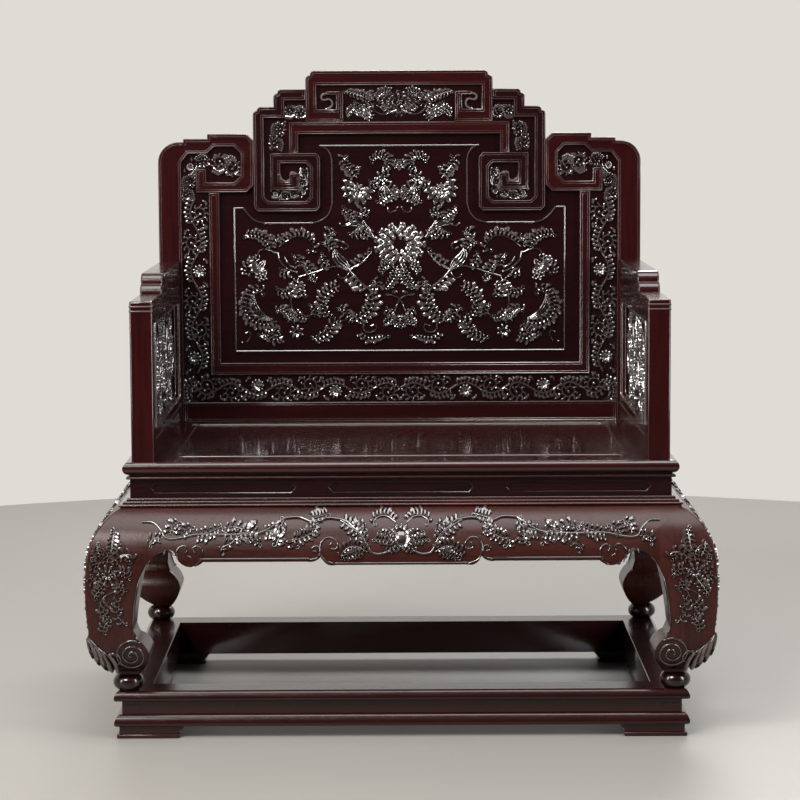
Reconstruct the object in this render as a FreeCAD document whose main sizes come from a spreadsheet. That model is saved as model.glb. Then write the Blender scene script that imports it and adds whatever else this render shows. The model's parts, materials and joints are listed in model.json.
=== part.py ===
# A carved throne chair: floor base, ball feet, cabriole legs, aprons, waist, seat, arms and back screen.
# Millimetres. +Z is up, the front of the chair faces -Y, the origin is on the floor under its middle.
import os
from math import cos, radians, sin, sqrt

import FreeCAD
import Part
import Sketcher

# Driving dimensions
SIZES = {
    "fit": 0.2,
    # floor base
    "base_width": 988,
    "base_depth": 672,
    "base_foot_height": 21,
    "base_foot_length": 112,
    "base_foot_width": 58,
    "base_foot_inset": 4,
    "base_foot_plinth": 7,
    "base_foot_step": 4,
    "base_foot_splay": 13,
    "base_rail_width": 64,
    "base_rail_height": 62,
    "base_top_bead": 18,
    "base_bottom_bead": 20,
    "base_fascia_inset": 13,
    "base_bead_lip": 8,
    "base_bead_nose": 5,
    # balls between base and legs
    "ball_diameter": 53,
    "ball_height": 28,
    "ball_inset": 24,
    "ball_flat": 30,
    "pin_diameter": 16,
    "pin_length": 18,
    # cabriole legs, as offsets from the outer faces of the base
    "leg_height": 289,
    "leg_top_in": 17,
    "leg_bulge_out": 24,
    "leg_bulge_drop": 40,
    "knee_out": 39,
    "knee_drop": 96,
    "shin_out": 41,
    "ankle_out": 37,
    "ankle_rise": 84,
    "heel_out": 21,
    "heel_rise": 31,
    "toe_in": 10,
    "toe_rise": 5,
    "scroll_centre_in": 34,
    "scroll_centre_rise": 42,
    "scroll_radius": 31,
    "scroll_swell": 2,
    "scroll_flat": 10,
    "shank_in": 39,
    "shank_rise": 86,
    "shank_belly": 2,
    "fork_in": 54,
    "fork_drop": 109,
    "arch_in": 96,
    "arch_drop": 66,
    "arch_sag": 5,
    "post_width": 42,
    "post_root": 90,
    "post_tenon_width": 24,
    "post_tenon_height": 18,
    # aprons
    "apron_top_thickness": 14,
    "apron_bottom_thickness": 28,
    "apron_edge_drop": 86,
    "apron_lobe_drop": 94,
    "apron_lobe_width": 46,
    "apron_cusp_in": 113,
    "apron_cusp_drop": 75,
    "apron_centre_drop": 92,
    "apron_centre_half_wide": 111,
    "apron_centre_half_deep": 78,
    "apron_notch_width": 24,
    "apron_notch_drop": 77,
    "apron_notch_bow": 5,
    "apron_tenon_thickness": 10,
    "apron_tenon_cover": 4,
    "apron_tenon_drop": 30,
    "apron_tenon_height": 22,
    "apron_tenon_reach": 34,
    # stepped moulding and waist
    "moulding_height": 14,
    "moulding_step": 6,
    "waist_height": 32,
    "waist_inset": 31,
    "waist_thickness": 12,
    "waist_lap": 8,
    "cartouche_margin": 36,
    "cartouche_height": 15,
    "cartouche_gap": 57,
    "cartouche_depth": 3,
    # seat
    "seat_inset": 19,
    "seat_height": 29,
    "seat_band_height": 20.5,
    "seat_band_round": 7,
    "seat_fillet_height": 5,
    "seat_recess": 11,
    "seat_rail_width": 78,
    "seat_panel_sink": 1,
    "seat_panel_thickness": 19,
    "tongue_depth": 8,
    "tongue_thickness": 8,
    "tongue_drop": 9,
    "batten_width": 42,
    "batten_height": 24,
    "batten_offset": 200,
    "batten_tenon": 15,
    "batten_tenon_height": 6,
    # frame tenons
    "tenon_length": 40,
    "tenon_width": 26,
    "tenon_height": 10,
    # arms
    "arm_thickness": 39,
    "arm_inset": 15,
    "arm_front_inset": 12,
    "arm_front_rise": 275,
    "arm_rear_rise": 310,
    "arm_front_level": 190,
    "arm_post_width": 46,
    "arm_bottom_rail_height": 55,
    "arm_top_rail_drop": 45,
    "arm_panel_thickness": 16,
    "arm_tongue": 6,
    "arm_tenon_length": 20,
    "arm_tenon_thickness": 12,
    "arm_tenon_height": 20,
    # back screen, from its crest down and from its outer edges in
    "back_height": 671,
    "back_thickness": 36,
    "back_inset": 8,
    "stile_width": 44,
    "shoulder_width": 181.5,
    "crest_corner": 17,
    "crest_height": 97,
    "crest_band": 28,
    "crest_side_band": 21,
    "crest_bottom_band": 24,
    "crest_hook_width": 72,
    "crest_hook_band": 14,
    "crest_hook_gap": 11,
    "crest_hook_reach": 34,
    "ear_drop": 35,
    "ear_width": 61,
    "ear_corner": 15,
    "ear_band": 21,
    "ear_step_drop": 33,
    "ear_step_width": 39.5,
    "fret_width": 127.5,
    "fret_height": 111.5,
    "fret_drop": 58.5,
    "fret_band": 20,
    "fret_chamfer": 8,
    "fret_right_inset": 32,
    "fret_tail_rise": 41,
    "fret_tail_band": 16,
    "fret_tail_inset": 39,
    "fret_tail_tip": 16,
    "channel_depth": 6,
    "shoulder_drop": 119,
    "shoulder_step": 9,
    "shoulder_step_end": 15,
    "shoulder_step_width": 46,
    "shoulder_low_width": 9,
    "shoulder_corner": 13,
    "shoulder_band": 24,
    "corner_radius": 39,
    "hook_drop": 111,
    "hook_band": 19.5,
    "hook_outset": 28,
    "hook_tip_height": 45,
    "hook_tip_width": 19.5,
    "inner_top_height": 23,
    "inner_neck_inset": 68.5,
    "inner_neck_width": 18,
    "inner_stile_width": 20,
    "inner_bottom_height": 23,
    "side_border_width": 52,
    "bottom_rail_height": 38,
    "bottom_border_height": 53,
    "border_sink": 5,
    "border_thickness": 18,
    "panel_sink": 9,
    "panel_thickness": 18,
    # loose keys
    "key_width": 14,
    "key_length": 24,
    "key_seat_depth": 9,
    "key_rise": 8,
    "back_key_spread": 220,
    "side_key_rise": 120,
    "side_key_height": 60,
}

DIAGONAL = sqrt(0.5)
PLANES = {"XY": "XY_Plane", "XZ": "XZ_Plane", "YZ": "YZ_Plane"}

doc = FreeCAD.newDocument("throne_chair")
sheet = doc.addObject("Spreadsheet::Sheet", "sizes")
for row, (alias, number) in enumerate(SIZES.items(), start=1):
    sheet.set(f"A{row}", str(number))
    sheet.setAlias(f"A{row}", alias)
doc.recompute()


class Size:
    """A length with the sheet expression that gives it, so that geometry and bindings agree."""

    def __init__(self, value, text):
        self.value = float(value)
        self.text = text

    def join(self, other, sign, value):
        return Size(value, f"({self.text} {sign} {other.text})")

    def __add__(self, other):
        other = as_size(other)
        return self.join(other, "+", self.value + other.value)

    def __sub__(self, other):
        other = as_size(other)
        return self.join(other, "-", self.value - other.value)

    def __mul__(self, factor):
        return self.join(as_size(factor), "*", self.value * factor)

    def __truediv__(self, factor):
        return self.join(as_size(factor), "/", self.value / factor)

    def __neg__(self):
        return Size(-self.value, f"(-1 * {self.text})")


def as_size(number):
    """Give a Size unchanged, and a plain number as a Size that nothing drives."""
    if isinstance(number, Size):
        return number
    return Size(number, repr(float(number)))


def size(alias):
    """Give the named cell of the sheet."""
    return Size(SIZES[alias], f"<<sizes>>.{alias}")


class Via:
    """A point that an outline's arc passes through on its way to the next corner."""

    def __init__(self, across, up):
        self.place = (across, up)


ZERO = as_size(0)
FIT = size("fit")


# Drawing helpers

def bind(thing, prop, length):
    """Bind one property of a document object to a Size."""
    thing.setExpression(prop, length.text)


def vector(point):
    """Give a pair of Sizes as a vector in the sketch's plane."""
    return FreeCAD.Vector(as_size(point[0]).value, as_size(point[1]).value, 0)


def end_at(sketch, edge, spot):
    """Tell which end of an edge, 1 or 2, lies at a spot."""
    near_start = (sketch.getPoint(edge, 1) - spot).Length
    near_end = (sketch.getPoint(edge, 2) - spot).Length
    return 1 if near_start < near_end else 2


def fix_point(sketch, edge, end, point):
    """Bind one point of a sketch to its two distances from the sketch's origin."""
    for kind, distance in zip(("DistanceX", "DistanceY"), point):
        distance = as_size(distance)
        number = sketch.addConstraint(Sketcher.Constraint(kind, -1, 1, edge, end, distance.value))
        bind(sketch, f"Constraints[{number}]", distance)


def draw(sketch, outline):
    """Draw a closed outline of corners, with an arc wherever a Via stands between two of them."""
    corners = [item for item in outline if not isinstance(item, Via)]
    arcs = {}
    count = -1
    for item in outline:
        if isinstance(item, Via):
            arcs[count] = item.place
        else:
            count += 1
    edges = []
    for number, start in enumerate(corners):
        finish = corners[(number + 1) % len(corners)]
        if number in arcs:
            edge = Part.Arc(vector(start), vector(arcs[number]), vector(finish))
        else:
            edge = Part.LineSegment(vector(start), vector(finish))
        edges.append(sketch.addGeometry(edge))
    for number, corner in enumerate(corners):
        spot = vector(corner)
        here, before = edges[number], edges[number - 1]
        end_here, end_before = end_at(sketch, here, spot), end_at(sketch, before, spot)
        sketch.addConstraint(Sketcher.Constraint("Coincident", here, end_here, before, end_before))
        fix_point(sketch, here, end_here, corner)
    for number, middle in arcs.items():
        mark = sketch.addGeometry(Part.Point(vector(middle)), True)
        sketch.addConstraint(Sketcher.Constraint("PointOnObject", mark, 1, edges[number]))
        fix_point(sketch, mark, 1, middle)


def new_body(label):
    """Start one piece of the chair."""
    body = doc.addObject("PartDesign::Body", label)
    body.Label = label
    return body


def extrude(body, name, plane, outlines, start, finish, cut=False):
    """Pad, or cut, one or more outlines of a plane between two places along its axis."""
    sketch = body.newObject("Sketcher::SketchObject", f"{body.Name}_{name}_outline")
    support = [f for f in body.Origin.OriginFeatures if f.Role == PLANES[plane]]
    sketch.AttachmentSupport = [(support[0], "")]
    sketch.MapMode = "FlatFace"
    for outline in outlines:
        draw(sketch, outline)
    faces_back = plane == "XZ"
    offset = -as_size(start) if faces_back else as_size(start)
    bind(sketch, "AttachmentOffset.Base.z", offset)
    kind = "PartDesign::Pocket" if cut else "PartDesign::Pad"
    feature = body.newObject(kind, f"{body.Name}_{name}")
    feature.Profile = sketch
    feature.Reversed = faces_back != cut
    bind(feature, "Length", as_size(finish) - start)
    return feature


def block(body, name, across, along, up, cut=False):
    """Add, or cut away, a box given by its two limits along X, Y and Z."""
    kind = "PartDesign::SubtractiveBox" if cut else "PartDesign::AdditiveBox"
    feature = body.newObject(kind, f"{body.Name}_{name}")
    for prop, axis, (low, high) in zip(("Length", "Width", "Height"), "xyz", (across, along, up)):
        bind(feature, prop, as_size(high) - low)
        bind(feature, f"Placement.Base.{axis}", as_size(low))
    return feature


def mortise(body, name, across, along, up):
    """Cut the seat of a tenon, key or tongue, with the fit all round."""
    loose = [(low - FIT, high + FIT) for low, high in (across, along, up)]
    return block(body, name, *loose, cut=True)


def side_span(side, inner, outer):
    """Give the limits from an inner to an outer distance on the left, -1, or on the right, 1."""
    return (inner, outer) if side > 0 else (-outer, -inner)


def middle_span(centre, width):
    """Give the limits of a width about its centre."""
    return (centre - width / 2, centre + width / 2)


def mapped(outline, move):
    """Give an outline with each corner and arc point moved by a function of its two coordinates."""
    moved = []
    for item in outline:
        if isinstance(item, Via):
            moved.append(Via(*move(*item.place)))
        else:
            moved.append(move(*item))
    return moved


def mirrored(outline, side):
    """Give an outline of the right half for the left, -1, or the right, 1."""
    return mapped(outline, lambda across, up: (across * side, up))


def both_halves(half):
    """Close a right half, drawn from the middle to the middle, with its own mirror image."""
    return half + mirrored(half, -1)[::-1]


def lobed_corner(corner_x, corner_z, width):
    """Two round lobes in place of the corner between a level edge and the drop to its right."""
    half = width / 2
    swell = half * DIAGONAL
    return [
        (corner_x - width, corner_z),
        Via(corner_x - width + swell, corner_z - half + swell),
        (corner_x - half, corner_z - half),
        Via(corner_x - half + swell, corner_z - width + swell),
        (corner_x, corner_z - width),
    ]


SIDES = {"left": -1, "right": 1}
ENDS = {"front": -1, "rear": 1}

# Heights of the stack, from the floor up
base_bottom = size("base_foot_height")
base_top = base_bottom + size("base_rail_height")
leg_bottom = base_top + size("ball_height")
leg_top = leg_bottom + size("leg_height")
waist_top = leg_top + size("moulding_height") + size("waist_height")
seat_top = waist_top + size("seat_height")

# Half sizes of the plan
base_x, base_y = size("base_width") / 2, size("base_depth") / 2
seat_x, seat_y = base_x - size("seat_inset"), base_y - size("seat_inset")


# Mitred rails of the base, the moulding, the waist and the seat

def mitred_rail(label, name, section, reach, half_length, width, low, high):
    """Run a section of offsets from the reach along one side of the chair, mitred at both ends."""
    body = new_body(label)
    along_x = name in ENDS
    sign = ENDS[name] if along_x else SIDES[name]
    placed = mapped(section, lambda offset, height: ((reach + offset) * sign, height))
    extrude(body, "section", "YZ" if along_x else "XZ", [placed], -half_length, half_length)
    for end_name, end in (("minus", -1), ("plus", 1)):
        corner = (half_length * end, reach * sign)
        inner = ((half_length - width) * end, (reach - width) * sign)
        outer = ((half_length + width) * end, (reach - width) * sign)
        waste = [corner, inner, outer]
        if not along_x:
            waste = [(there, here) for here, there in waste]
        extrude(body, f"{end_name}_mitre", "XY", [waste], low, high, cut=True)
    return body


def ring_of_rails(prefix, suffix, section, half_x, half_y, width, low, high):
    """Make the front, rear, left and right rails of one mitred frame."""
    rails = {}
    for name in ("front", "rear"):
        rails[name] = mitred_rail(f"{prefix}_{name}{suffix}", name, section, half_y, half_x, width, low, high)
    for name in ("left", "right"):
        rails[name] = mitred_rail(f"{prefix}_{name}{suffix}", name, section, half_x, half_y, width, low, high)
    return rails


def corner_tenons(rails, half_x, half_y, width, middle_height):
    """Tenon the left and right rails of a frame into its front and rear rails, across the mitres."""
    across_middle = half_x - width / 2
    up = middle_span(middle_height, size("tenon_height"))
    tip = half_y - width / 2 + size("tenon_length") / 2
    root = tip - size("tenon_length")
    for side_name, side in SIDES.items():
        across = middle_span(across_middle * side, size("tenon_width"))
        for end_name, end in ENDS.items():
            along = side_span(end, root, tip)
            block(rails[side_name], f"{end_name}_tenon", across, along, up)
            mortise(rails[end_name], f"{side_name}_mortise", across, along, up)


def thumbnail(low, height):
    """A bead that swells from its top edge out to a small rounded nose, with the fascia set back behind it."""
    fascia, lip, nose = -size("base_fascia_inset"), size("base_bead_lip"), size("base_bead_nose")
    turn = nose * (1 - DIAGONAL)
    return [
        (fascia, low),
        (-nose, low),
        Via(-turn, low + turn),
        (ZERO, low + nose),
        Via(-lip / 4, low + (height + nose) / 2),
        (-lip, low + height),
        (fascia, low + height),
    ]


def make_base():
    """Floor base: a thumbnail bead above and below a set-back fascia."""
    back = -size("base_rail_width")
    section = [(back, base_bottom)]
    section += thumbnail(base_bottom, size("base_bottom_bead"))
    section += thumbnail(base_top - size("base_top_bead"), size("base_top_bead"))
    section.append((back, base_top))
    width = size("base_rail_width")
    rails = ring_of_rails("base", "_rail", section, base_x, base_y, width, base_bottom, base_top)
    corner_tenons(rails, base_x, base_y, width, base_bottom + size("base_rail_height") / 2)
    return rails


def corner_places():
    """Give each corner's name with its two signs."""
    for end_name, end in ENDS.items():
        for side_name, side in SIDES.items():
            yield f"{end_name}_{side_name}", side, end


def make_base_feet():
    """Corner feet: an L in plan on a low plinth, with the inner ends splayed up to the rails."""
    feet = []
    inset, wide = size("base_foot_inset"), size("base_foot_width")
    plinth = size("base_foot_plinth")
    far = size("base_foot_length")
    plan = [(inset, inset), (far, inset), (far, wide), (wide, wide), (wide, far), (inset, far)]
    riser_in = inset + size("base_foot_step")
    riser_far = far - size("base_foot_step")
    riser_top = riser_far + size("base_foot_splay")
    riser = [(riser_in, plinth), (riser_far, plinth), (riser_top, base_bottom), (riser_in, base_bottom)]
    for name, side, end in corner_places():
        body = new_body(f"base_foot_{name}")
        placed = [((base_x - u) * side, (base_y - v) * end) for u, v in plan]
        extrude(body, "plinth", "XY", [placed], ZERO, plinth)
        front_view = mapped(riser, lambda u, height: ((base_x - u) * side, height))
        extrude(body, "front_riser", "XZ", [front_view], *side_span(end, base_y - wide, base_y - riser_in))
        side_view = mapped(riser, lambda v, height: ((base_y - v) * end, height))
        extrude(body, "side_riser", "YZ", [side_view], *side_span(side, base_x - wide, base_x - riser_in))
        feet.append(body)
    return feet


def make_balls(rails):
    """Flattened balls with a pin up into the leg and a pin down into the base."""
    balls = []
    radius = size("ball_diameter") / 2
    flat = size("ball_flat") / 2
    pin = size("pin_diameter") / 2
    length = size("pin_length")
    for name, side, end in corner_places():
        body = new_body(f"ball_foot_{name}")
        sketch = body.newObject("Sketcher::SketchObject", f"{body.Name}_outline")
        support = [f for f in body.Origin.OriginFeatures if f.Role == PLANES["XZ"]]
        sketch.AttachmentSupport = [(support[0], "")]
        sketch.MapMode = "FlatFace"
        draw(sketch, [
            (ZERO, -length),
            (pin, -length),
            (pin, ZERO),
            (flat, ZERO),
            Via(radius, size("ball_height") / 2),
            (flat, size("ball_height")),
            (pin, size("ball_height")),
            (pin, size("ball_height") + length),
            (ZERO, size("ball_height") + length),
        ])
        turned = body.newObject("PartDesign::Revolution", f"{body.Name}_turned")
        turned.Profile = sketch
        turned.ReferenceAxis = (sketch, ["V_Axis"])
        turned.Angle = 360
        bind(body, "Placement.Base.x", (base_x - size("ball_inset")) * side)
        bind(body, "Placement.Base.y", (base_y - size("ball_inset")) * end)
        bind(body, "Placement.Base.z", base_top)
        balls.append(body)
        for rail_name in name.split("_"):
            pin_hole(rails[rail_name], name, side, end, base_top - length - FIT, base_top)
    return balls


def pin_hole(body, name, side, end, low, high):
    """Bore the hole of a ball's pin."""
    hole = body.newObject("PartDesign::SubtractiveCylinder", f"{body.Name}_{name}_pin_hole")
    bind(hole, "Radius", size("pin_diameter") / 2 + FIT)
    bind(hole, "Height", high - low)
    bind(hole, "Placement.Base.x", (base_x - size("ball_inset")) * side)
    bind(hole, "Placement.Base.y", (base_y - size("ball_inset")) * end)
    bind(hole, "Placement.Base.z", low)


def shoulder_curve():
    """The bulge that legs and aprons share, from the top edge down to the knee."""
    return [
        (-size("leg_top_in"), leg_top),
        Via(size("leg_bulge_out"), leg_top - size("leg_bulge_drop")),
        (size("knee_out"), leg_top - size("knee_drop")),
    ]


def leg_profile():
    """One leg seen square on, as offsets from the base's outer face: knee, scroll foot, inner curve, mitre."""
    centre_u, centre_z = -size("scroll_centre_in"), leg_bottom + size("scroll_centre_rise")
    radius, swell = size("scroll_radius"), size("scroll_swell")
    shank_z = leg_bottom + size("shank_rise")
    fork = (-size("fork_in"), leg_top - size("fork_drop"))
    arch = (-size("arch_in"), leg_top - size("arch_drop"))
    sag = size("arch_sag")
    return shoulder_curve() + [
        Via(size("shin_out"), (leg_top - size("knee_drop") + leg_bottom + size("ankle_rise")) / 2),
        (size("ankle_out"), leg_bottom + size("ankle_rise")),
        Via(size("heel_out"), leg_bottom + size("heel_rise")),
        (-size("toe_in"), leg_bottom + size("toe_rise")),
        (-size("toe_in"), leg_bottom),
        (centre_u - size("scroll_flat"), leg_bottom),
        Via(centre_u - (radius + swell) * DIAGONAL, centre_z - (radius + swell) * DIAGONAL),
        (centre_u - radius, centre_z),
        Via(centre_u - (radius - swell) * DIAGONAL, centre_z + (radius - swell) * DIAGONAL),
        (centre_u - size("scroll_flat"), centre_z + radius - swell),
        (-size("shank_in"), shank_z),
        Via((fork[0] - size("shank_in")) / 2 + size("shank_belly"), (fork[1] + shank_z) / 2),
        fork,
        Via((fork[0] + arch[0]) / 2 + sag, (fork[1] + arch[1]) / 2 + sag),
        arch,
    ]


def make_legs():
    """Cabriole legs: the same profile seen from both outer sides, with a post and a tenon above."""
    legs = {}
    profile = leg_profile()
    reach = size("arch_in") + size("shin_out")
    for name, side, end in corner_places():
        body = new_body(f"leg_{name}")
        front_view = mapped(profile, lambda offset, height: ((base_x + offset) * side, height))
        side_view = mapped(profile, lambda offset, height: ((base_y + offset) * end, height))
        along_limits = side_span(end, base_y - reach, base_y + reach)
        extrude(body, "front_view", "XZ", [front_view], *along_limits)
        low, high = leg_bottom - reach, leg_top + reach
        near, far = along_limits[0] - reach, along_limits[1] + reach
        frame = [(near, low), (far, low), (far, high), (near, high)]
        across_limits = side_span(side, base_x - reach - reach, base_x + reach + reach)
        extrude(body, "side_view", "YZ", [frame, side_view], *across_limits, cut=True)
        post_out = size("waist_inset") + size("waist_thickness")
        post_in = post_out + size("post_width")
        block(
            body,
            "post",
            side_span(side, base_x - post_in, base_x - post_out),
            side_span(end, base_y - post_in, base_y - post_out),
            (leg_top - size("post_root"), waist_top),
        )
        margin = (size("post_width") - size("post_tenon_width")) / 2
        tenon = (
            side_span(side, base_x - post_in + margin, base_x - post_out - margin),
            side_span(end, base_y - post_in + margin, base_y - post_out - margin),
            (waist_top, waist_top + size("post_tenon_height")),
        )
        block(body, "tenon", *tenon)
        pin_hole(body, "ball", side, end, leg_bottom, leg_bottom + size("pin_length") + FIT)
        legs[name] = (body, tenon)
    return legs


def apron_outline(half, centre_half):
    """The face of an apron: mitred ends, a hanging lobe by each leg, a notch beside the centre lobe."""
    lobe_z = leg_top - size("apron_lobe_drop")
    edge_z = leg_top - size("apron_edge_drop")
    centre_z = leg_top - size("apron_centre_drop")
    notch_z = leg_top - size("apron_notch_drop")
    cusp = (half - size("apron_cusp_in"), leg_top - size("apron_cusp_drop"))
    arch = (half - size("arch_in"), leg_top - size("arch_drop"))
    lobe_in = cusp[0] - size("apron_lobe_width")
    notch_x = centre_half + size("apron_notch_width")
    bow = size("apron_notch_bow")
    right = [
        (centre_half, centre_z),
        Via(notch_x - bow, notch_z - bow * 2),
        (notch_x, notch_z),
        Via(notch_x + bow, notch_z - bow),
        (notch_x + size("apron_notch_width"), edge_z),
        (lobe_in, edge_z),
        Via((lobe_in + cusp[0]) / 2, lobe_z),
        cusp,
        Via((cusp[0] + arch[0]) / 2, arch[1]),
        arch,
        (half - size("leg_top_in"), leg_top),
    ]
    return both_halves(right)


def make_aprons(legs):
    """Bulging aprons between the legs, each with a tenon into the leg at both ends."""
    top_in = size("leg_top_in") + size("apron_top_thickness")
    foot_in = size("knee_out") - size("apron_bottom_thickness")
    knee_z = leg_top - size("knee_drop")
    back = [
        (foot_in, knee_z),
        Via(foot_in - (top_in + foot_in) / 4, (knee_z + leg_top) / 2),
        (-top_in, leg_top),
    ]
    section = shoulder_curve() + back
    tenon_top = leg_top - size("apron_tenon_drop")
    tenon_up = (tenon_top - size("apron_tenon_height"), tenon_top)
    tenon_out = size("leg_bulge_out") - size("apron_tenon_cover") - size("apron_tenon_thickness")
    for name in ("front", "rear", "left", "right"):
        along_x = name in ENDS
        sign = ENDS[name] if along_x else SIDES[name]
        half, reach = (base_x, base_y) if along_x else (base_y, base_x)
        body = mitred_rail(f"apron_{name}", name, section, reach, half, size("arch_in"), leg_bottom, leg_top)
        centre_half = size("apron_centre_half_wide") if along_x else size("apron_centre_half_deep")
        wide, low, high = half + size("arch_in"), leg_bottom, leg_top + size("arch_in")
        frame = [(-wide, low), (wide, low), (wide, high), (-wide, high)]
        depth = side_span(sign, reach - size("arch_in"), reach + size("arch_in"))
        outline = apron_outline(half, centre_half)
        extrude(body, "outline", "XZ" if along_x else "YZ", [frame, outline], *depth, cut=True)
        thickness = side_span(sign, reach + tenon_out - size("apron_tenon_thickness"), reach + tenon_out)
        for end in (-1, 1):
            length = side_span(end, half - size("arch_in"), half - size("apron_tenon_reach"))
            limits = (length, thickness) if along_x else (thickness, length)
            block(body, "minus_tenon" if end < 0 else "plus_tenon", *limits, tenon_up)
            if along_x:
                corner = f"{name}_{'left' if end < 0 else 'right'}"
            else:
                corner = f"{'front' if end < 0 else 'rear'}_{name}"
            mortise(legs[corner][0], f"{name}_mortise", *limits, tenon_up)


def make_moulding():
    """Three-step moulding on top of the aprons, planted on the waist."""
    inner = -size("waist_inset")
    step = size("moulding_step")
    third = size("moulding_height") / 3
    outer = inner + step * 3
    section = [(inner, leg_top), (outer, leg_top)]
    for number in range(3):
        edge = outer - step * number
        high = leg_top + third * (number + 1)
        section += [(edge, high), (edge - step, high)]
    section.pop()
    section.append((inner, leg_top + size("moulding_height")))
    ring_of_rails("moulding", "", section, base_x, base_y, size("waist_inset"), leg_top, waist_top)


def make_waist():
    """Waist boards with long sunk cartouches, pointed at both ends."""
    outer = -size("waist_inset")
    inner = outer - size("waist_thickness")
    low = leg_top - size("waist_lap")
    section = [(inner, low), (outer, low), (outer, waist_top), (inner, waist_top)]
    width = size("waist_inset") + size("waist_thickness")
    boards = ring_of_rails("waist", "", section, base_x, base_y, width, low, waist_top)
    middle_z = waist_top - size("waist_height") / 2
    rise = size("cartouche_height") / 2
    gap = size("cartouche_gap")
    for name, count in (("front", 3), ("rear", 3), ("left", 2), ("right", 2)):
        along_x = name in ENDS
        sign = ENDS[name] if along_x else SIDES[name]
        reach, half = (base_y, base_x) if along_x else (base_x, base_y)
        face = reach - size("waist_inset")
        first = size("waist_inset") + size("cartouche_margin") - half
        length = (-first * 2 - gap * (count - 1)) / count
        outlines = []
        for number in range(count):
            near = first + (length + gap) * number
            far = near + length
            outlines.append([
                (near, middle_z),
                (near + rise, middle_z - rise),
                (far - rise, middle_z - rise),
                (far, middle_z),
                (far - rise, middle_z + rise),
                (near + rise, middle_z + rise),
            ])
        depth = side_span(sign, face - size("cartouche_depth"), face)
        extrude(boards[name], "cartouches", "XZ" if along_x else "YZ", outlines, *depth, cut=True)


def make_seat(legs):
    """Seat frame with a rounded edge band, a grooved inner edge, a floating panel and its battens."""
    width = size("seat_rail_width")
    recess = -size("seat_recess")
    fillet = recess / 2
    band_low = seat_top - size("seat_band_height")
    round_in = -size("seat_band_round")
    groove_top = seat_top - size("tongue_drop") + FIT
    groove_low = groove_top - size("tongue_thickness") - FIT * 2
    groove_in = -width + size("tongue_depth") + FIT
    section = [
        (-width, waist_top),
        (fillet, waist_top),
        (fillet, waist_top + size("seat_fillet_height")),
        (recess, waist_top + size("seat_fillet_height")),
        (recess, band_low),
        (round_in, band_low),
        Via(ZERO, (band_low + seat_top) / 2),
        (round_in, seat_top),
        (-width, seat_top),
        (-width, groove_top),
        (groove_in, groove_top),
        (groove_in, groove_low),
        (-width, groove_low),
    ]
    rails = ring_of_rails("seat", "_rail", section, seat_x, seat_y, width, waist_top, seat_top)
    corner_tenons(rails, seat_x, seat_y, width, waist_top + size("seat_height") / 2)
    for name, (_, tenon) in legs.items():
        for rail_name in name.split("_"):
            mortise(rails[rail_name], f"{name}_leg_mortise", *tenon)

    panel = new_body("seat_panel")
    half_x, half_y = seat_x - width - FIT, seat_y - width - FIT
    panel_top = seat_top - size("seat_panel_sink")
    panel_low = panel_top - size("seat_panel_thickness")
    block(panel, "board", (-half_x, half_x), (-half_y, half_y), (panel_low, panel_top))
    tongue_x, tongue_y = half_x + size("tongue_depth"), half_y + size("tongue_depth")
    tongue_up = (groove_low + FIT, groove_top - FIT)
    block(panel, "tongue", (-tongue_x, tongue_x), (-tongue_y, tongue_y), tongue_up)

    battens = []
    tenon_up = (panel_low - size("batten_tenon_height"), panel_low)
    for name, side in SIDES.items():
        body = new_body(f"seat_batten_{name}")
        across = middle_span(size("batten_offset") * side, size("batten_width"))
        block(body, "bar", across, (-half_y, half_y), (panel_low - size("batten_height"), panel_low))
        for end_name, end in ENDS.items():
            along = side_span(end, half_y - size("batten_tenon"), half_y + size("batten_tenon"))
            tenon_across = middle_span(size("batten_offset") * side, size("batten_width") / 2)
            block(body, f"{end_name}_tenon", tenon_across, along, tenon_up)
            mortise(rails[end_name], f"{name}_batten_mortise", tenon_across, along, tenon_up)
        battens.append(body)
    return rails, battens


# The back screen stands on the rear rail of the seat, the arms on its side rails
back_rear = seat_y - size("back_inset")
back_front = back_rear - size("back_thickness")
arm_outer = seat_x - size("arm_inset")
arm_inner = arm_outer - size("arm_thickness")
arm_front = -seat_y + size("arm_front_inset")
arm_middle = (arm_outer + arm_inner) / 2


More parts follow.
